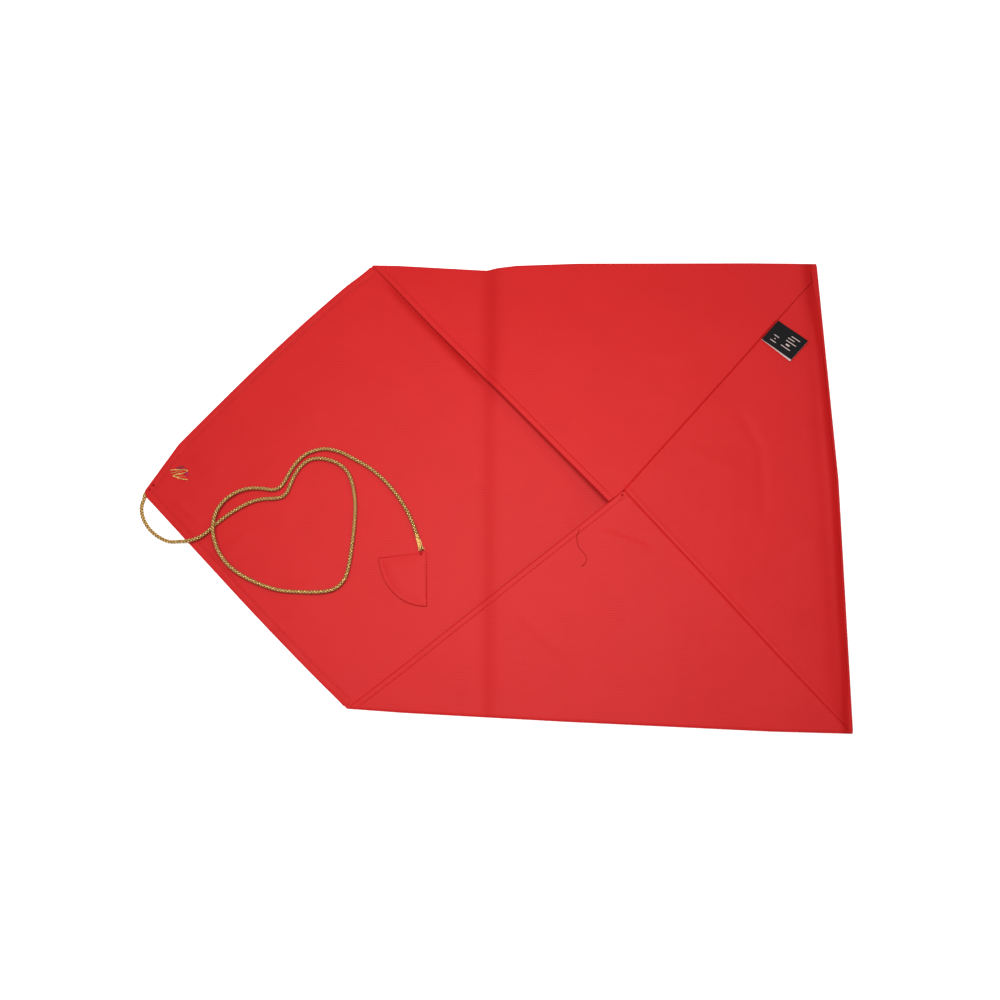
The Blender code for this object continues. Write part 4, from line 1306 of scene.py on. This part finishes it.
class WRAP_OT_hems(bpy.types.Operator):
    """Side fold roll, hems of the mouth and the flap, seam allowances, their rows of stitches, the
    mouth's bar tack and a loose thread tail
    """
    bl_idname = "wrap.hems"
    bl_label = "Hems, seams and stitches"

    def execute(self, context):
        settings = context.scene.wrap_cloth
        red, thread = red_cloth(context), red_thread(context)
        self.side_roll(red)
        self.mouth_hems(settings, red, thread)
        self.seams(settings, red, thread)
        self.flap_hems(settings, red, thread)
        self.loose_threads(settings, thread)
        return {"FINISHED"}

    def side_roll(self, red):
        """The side fold: a soft roll with a wide, flat end at the upper corner."""
        angle = TURN * np.arange(20) / 20

        def section(run):
            end = run[-1]
            top = end - run
            width = 0.0020 + 0.0032 * (1.0 - smooth(top / 0.055)) + 0.0010 * (
                1.0 - smooth(run / 0.030)) + 0.00015 * np.sin(run / 0.011)
            tall = 0.00125 - 0.00025 * (1.0 - smooth(top / 0.03)) + 0.00006 * np.sin(run / 0.017)
            inside = -0.0002 + width[:, None] / 2 * (1.0 - np.cos(angle)[None])
            rise = tall[:, None] * (0.62 + 0.52 * np.sin(angle)[None])
            return np.stack([inside, rise], -1)

        shape = Shape()
        corners = [LOWER_RIGHT, SIDE_MIDDLE, UPPER_RIGHT]
        edge_strip(shape, corners, section, level(ROLL_BASE), (0.0002, 0.0002))
        roll = shape.piece("side_roll_cloth", [red])
        # Painted shade in the side fold's valley, noted on the roll's points
        points = np.array([point.co[:2] for point in roll.data.vertices])
        depth = painted_shade_mask(points).astype(np.float32)
        roll.data.attributes["PaintedShade"].data.foreach_set("value", depth)
        place_on(roll, "pocket", "red_cloth", "side_fold_roll")

    def mouth_hems(self, settings, red, thread):
        """Hems turned under the front panels, and the stitch rows that hold them."""
        width = settings.mouth_hem

        def section(run):
            uneven = 0.00016 * np.sin(run / 0.0037 + np.sin(run / 0.009))
            outline = [(0.0006, -0.00018), (0.0001, -0.00012), (-0.00018, -0.00024),
                       (-0.00028, -0.00048), (-0.00018, -0.00074), (0.0002, -0.00088),
                       (width * 0.5, -0.00094), (width - 0.0003, -0.00088), (width, -0.00066),
                       (width - 0.0002, -0.00038), (width * 0.5, -0.00034)]
            return outlines(run, [(inside + uneven * (inside > width / 2), rise)
                                  for inside, rise in outline])

        rows = [("upper", UPPER_LEFT, MOUTH_CORNER, upper_height, 0.5, (0.004, 0.0005),
                 (0.011, 0.003)),
                ("lower", MOUTH, LOWER_LEFT, lower_height, 2.5, (0.0008, 0.004),
                 (0.003, 0.011))]
        for name, start, end, height, seed, skips, row_skips in rows:
            shape = Shape()
            edge_strip(shape, [start, end], section, height, skips)
            hem = shape.piece(f"{name}_mouth_hem_cloth", [red])
            place_on(hem, "pocket", "red_cloth", f"{name}_mouth_hem")
            shape = Shape()
            add_stitches(shape, (start, end), width - 0.0005, height, settings, row_skips,
                         lift=settings.thickness / 2 + 0.00010, seed=seed)
            row = shape.piece(f"{name}_mouth_stitches", [thread])
            place_on(row, "pocket", "red_thread", f"{name}_mouth_stitching")

    def seams(self, settings, red, thread):
        """Allowances turned inside the pocket beside the two seams, with their stitches."""
        def section(run):
            uneven = 0.00045 * np.sin(run / 0.0029 + 2.0 * np.sin(run / 0.013))
            outline = [(0.0012, -0.0007), (0.0075, -0.00075), (0.0078, -0.00095),
                       (0.0075, -0.00115), (0.0012, -0.0011), (0.0009, -0.0009)]
            return outlines(run, [(inside + uneven * (inside > 0.004), rise)
                                  for inside, rise in outline])

        for name, start, end in (("upper", ROLL_NECK, MOUTH), ("lower", MOUTH, ROLL_FOOT)):
            shape = Shape()
            edge_strip(shape, [start, end], section, SIDE_PLANE, (0.020, 0.020))
            strip = shape.piece(f"{name}_seam_allowance_cloth", [red])
            place_on(strip, "pocket", "red_cloth", f"{name}_seam_allowance")
            shape = Shape()
            add_stitches(shape, (start, end), 0.0016, SIDE_PLANE, settings, (0.034, 0.034),
                         lift=-0.00130)
            row = shape.piece(f"{name}_seam_stitches", [thread])
            place_on(row, "pocket", "red_thread", f"{name}_seam_stitching")

    def flap_hems(self, settings, red, thread):
        """Hems turned onto the flap's visible face, puckered beside their stitch rows."""
        width = settings.flap_hem
        top = settings.thickness / 2

        def section(run):
            pucker = np.sin(run / 0.0011 + 1.6 * np.sin(run / 0.0047))
            slow = np.sin(run / 0.0062 + 1.2 * np.sin(run / 0.017))
            inner = width + 0.00022 * slow + 0.00010 * pucker
            stitch = width - 0.0012
            outline = [(0.0006, -0.00022), (-0.0001, -0.00020),
                       (-0.00034, 0.00002), (-0.00036, 0.00030),
                       (-0.00012, 0.00054), (0.0005, 0.00064),
                       (0.0016, 0.00062 + 0.00006 * slow),
                       (0.0031, 0.00058 + 0.00008 * np.roll(slow, 3)),
                       (stitch - 0.0007, 0.00054 + 0.00006 * pucker),
                       (stitch, 0.00036 + 0.00004 * pucker),
                       (stitch + 0.0005, 0.00044 + 0.00006 * pucker),
                       (inner - 0.0002, 0.00034 + 0.00004 * slow),
                       (inner + 0.0002, 0.00022), (inner - 0.0001, (top - 0.00004)),
                       (width * 0.5, (top - 0.00004))]
            return outlines(run, outline)

        rows = [("upper", [UPPER_LEFT, SHOULDER, TIP], 0.9, (0.0012, 0.0010)),
                ("lower", [TIP, LOWER_LEFT], 3.3, (0.0004, 0.0012))]
        for name, corners, seed, skips in rows:
            shape = Shape()
            edge_strip(shape, corners, section, ground, skips, step=0.0008)
            hem = shape.piece(f"flap_{name}_hem_cloth", [red])
            place_on(hem, "fold", "red_cloth", f"flap_{name}_hem")
            shape = Shape()
            for index, (start, end) in enumerate(zip(corners, corners[1:])):
                ends = (0.012 if index == 0 and name == "upper" else 0.004,
                        0.012 if name == "lower" else 0.004)
                add_stitches(shape, (start, end), width - 0.0012, ground, settings, ends,
                             lift=0.00046, seed=seed + index)
            row = shape.piece(f"flap_{name}_stitches", [thread])
            place_on(row, "fold", "red_thread", f"flap_{name}_stitching")

    def loose_threads(self, settings, thread):
        """The bar tack at the mouth, and the thread tail left hanging at the lower hem."""
        over = settings.thickness / 2
        along = direction(MOUTH, LOWER_LEFT)
        inward = np.array([-along[1], along[0]])
        shape = Shape()
        add_wraps(shape, MOUTH + along * 0.0034 + inward * 0.0022, along, 4, 0.0018, 0.00050,
                  raised(lower_height, over), settings.thread / 2)
        tack = shape.piece("mouth_corner_stitches", [thread])
        place_on(tack, "pocket", "red_thread", "mouth_corner_tack")

        route = [(*(MOUTH + np.array(spot)), 0.0) for spot in THREAD_TAIL]
        line, run = smooth_line(route, 0.0006)
        lift = 0.00010 + 0.00025 * np.sin(math.pi * run / run[-1] * 2.0) ** 2
        line[:, 2] = lower_height(line[:, :2]) + over + settings.thread / 2 + lift
        shape = Shape()
        for strand in (0.0, math.pi):
            turn = TURN * run / 0.0016 + strand
            offset = np.stack([np.cos(turn), 0.6 * np.sin(turn), np.sin(turn)], -1) * 0.00010
            fray = (smooth((run - run[-1] + 0.004) / 0.004) * 0.0007 * math.cos(strand))[:, None]
            add_tube(shape, line + offset + fray * np.array([1.0, 0.4, 0.1]), 0.00014, 6)
        tail = shape.piece("thread_tail", [thread])
        place_on(tail, "pocket", "red_thread", "loose_thread_tail")


class WRAP_OT_tip(bpy.types.Operator):
    """Where the cord is sewn to the flap's tip, and the frayed end that comes out beside it"""
    bl_idname = "wrap.tip"
    bl_label = "Flap tip"

    def execute(self, context):
        settings = context.scene.wrap_cloth
        along = direction(SHOULDER, TIP)
        inward = np.array([-along[1], along[0]])
        over_hem = raised(ground, 0.00078)
        shape = Shape()
        centre = TIP - along * 0.0092 + inward * 0.0030
        add_wraps(shape, centre, along, 4, 0.0022, 0.00052, over_hem, settings.thread / 2)
        add_wraps(shape, TIP - along * 0.0048 + inward * 0.0026, inward, 3, 0.0018, 0.00052,
                  over_hem, settings.thread / 2)
        tack = shape.piece("cord_anchor_stitches", [red_thread(context)])
        place_on(tack, "flap", "red_thread", "cord_anchor_tack")

        shape = Shape()
        route = [(*(TIP + np.array(spot)), 0.0) for spot in TUFT_ROUTE]
        line, run = smooth_line(route, 0.0004)
        line[:, 2] = ground(line[:, :2]) + 0.00085 + 0.00025 * np.sin(run / 0.0017)
        for strand in range(3):
            turn = TURN * (run / 0.0042 + strand / 3)
            offset = np.stack([np.cos(turn), np.cos(turn), 1.1 * np.sin(turn)], -1) * 0.00020
            add_tube(shape, line + offset, 0.00024, 6)
        for number, (x, y, far_x, far_y, tint) in enumerate(TUFT_FIBRES):
            root, end = TIP + [x, y], TIP + [far_x, far_y]
            middle = (root + end) / 2 + [0.0, 0.0007 * math.sin(number * 2.7)]
            rise = 0.0007 + 0.0006 * abs(math.sin(number * 1.3))
            points = [(*root, ground(root) + 0.0005), (*middle, ground(middle) + 0.0004 + rise),
                      (*end, ground(end) + 0.0004)]
            fibre, fibre_run = smooth_line(points, 0.0006)
            add_tube(shape, fibre, 0.00017 - 0.00006 * fibre_run / fibre_run[-1], 6, tint)
        plum = yarn_material("Magenta fibre", (0.42, 0.02, 0.26), (0.12, 0.01, 0.08), 0.5, 0.2)
        blue = yarn_material("Dark blue fibre", (0.05, 0.055, 0.13), (0.01, 0.01, 0.03), 0.5, 0.2)
        tuft = shape.piece("frayed_cord_end", [gold_yarn(context), plum, blue])
        place_on(tuft, "flap", "gold_cord", "cord_end_tuft")
        return {"FINISHED"}


class WRAP_OT_label(bpy.types.Operator):
    """Folded ribbon label sewn into the upper seam, with plain woven bars"""
    bl_idname = "wrap.label"
    bl_label = "Label"

    def execute(self, context):
        settings, cloth = context.scene.wrap_label, context.scene.wrap_cloth
        along = direction(*SEAM_UP)
        across_seam = np.array([along[1], -along[0]])
        root = MOUTH + (ROLL_NECK - MOUTH) * LABEL_SPOT
        skew = math.radians(2.0)
        hang = np.array([across_seam[0] * math.cos(skew) - across_seam[1] * math.sin(skew),
                         across_seam[0] * math.sin(skew) + across_seam[1] * math.cos(skew)])
        out = np.linspace(0.0, 1.0, 44)
        wide = np.linspace(-0.5, 0.5, 34)

        def ribbon(shift, rise, curl, droop):
            """Plan and height of one leaf; the fold at its far end turns over and down."""
            share = out[:, None] + 0.0 * wide[None]
            side = wide[None] + 0.0 * out[:, None]
            plan = root + hang * (0.0008 + share * settings.length)[..., None] + along * (
                side * settings.width)[..., None] + shift * share[..., None]
            lifted = curl * share ** 1.6 * (1.0 + 0.5 * side) + 0.00012 * np.sin(9.0 * share + 5 * side)
            end = droop * (1.0 - round_over((1.0 - share) * settings.length, 0.0009))
            height = SIDE_PLANE(plan) + rise + lifted - end
            return plan, height, np.stack([side * settings.width, share * settings.length], -1)

        leaves = [("front", np.zeros(2), 0.00165, 0.00115, 0.00045, black_satin(context),
                   "black_ribbon"),
                  ("back", -along * 0.00115 + hang * 0.0001, 0.00100, 0.00055, -0.0004,
                   pale_ribbon(context), "pale_ribbon")]
        for name, shift, rise, curl, droop, material, slot_name in leaves:
            plan, height, rest = ribbon(shift, rise, curl, droop)
            shape = Shape()
            add_sheet(shape, np.concatenate([plan, height[..., None]], -1), rest, 0.00026)
            if name == "front":
                self.bars(shape, plan, height)
            leaf = shape.piece(f"label_{name}", [material, pale_ribbon(context)])
            place_on(leaf, "label", slot_name, f"label_{name}_leaf")

        shape = Shape()
        half = along * settings.width / 2
        add_stitches(shape, (root - half, root + half), 0.0005, upper_height, cloth,
                     (0.0006, 0.0006), lift=cloth.thickness / 2 + 0.00035)
        row = shape.piece("label_stitches", [red_thread(context)])
        place_on(row, "pocket", "red_thread", "label_stitching")
        return {"FINISHED"}

    def bars(self, shape, plan, height):
        """Plain woven bars in the ribbon's reverse colour, raised a little off its face."""
        for first, last, row_start, row_end in ((8, 17, 6, 7), (11, 14, 10, 11), (8, 16, 14, 15),
                                                (22, 36, 8, 9), (26, 32, 12, 14), (23, 38, 17, 18),
                                                (23, 33, 21, 22), (25, 38, 25, 26)):
            block = (slice(first, last), slice(row_start, row_end + 1))
            lifted = np.concatenate([plan[block], (height[block] + 0.00015)[..., None]], -1)
            add_sheet(shape, lifted, plan[block], 0.00012, 1)


class WRAP_PT_panel(bpy.types.Panel):
    """Lists the wrap's settings and the operators that build it"""
    bl_idname = "WRAP_PT_panel"
    bl_label = "Book Wrap"
    bl_space_type = "VIEW_3D"
    bl_region_type = "UI"
    bl_category = "Book Wrap"

    def draw(self, context):
        for owner, settings_class in SETTINGS:
            box = self.layout.box()
            box.label(text=settings_class.__name__.replace("Settings", ""))
            for name in settings_class.__annotations__:
                box.prop(getattr(context.scene, owner), name)
        for operator in OPERATORS:
            self.layout.operator(operator.bl_idname)


SETTINGS = (("wrap_cloth", ClothSettings), ("wrap_cord", CordSettings),
            ("wrap_label", LabelSettings), ("wrap_stage", StageSettings))
OPERATORS = (WRAP_OT_stage, WRAP_OT_cloth, WRAP_OT_tab, WRAP_OT_cord, WRAP_OT_hems, WRAP_OT_tip,
             WRAP_OT_label)


def register():
    for owner, settings_class in SETTINGS:
        bpy.utils.register_class(settings_class)
        setattr(bpy.types.Scene, owner, PointerProperty(type=settings_class))
    for made in (*OPERATORS, WRAP_PT_panel):
        bpy.utils.register_class(made)


def unregister():
    for made in reversed((*OPERATORS, WRAP_PT_panel)):
        bpy.utils.unregister_class(made)
    for owner, settings_class in reversed(SETTINGS):
        delattr(bpy.types.Scene, owner)
        bpy.utils.unregister_class(settings_class)


def main():
    register()
    for operator in OPERATORS:
        call = getattr(bpy.ops.wrap, operator.bl_idname.split(".")[1])
        if call() != {"FINISHED"}:
            raise RuntimeError(f"{operator.bl_label} didn't finish")


if __name__ == "__main__":
    main()
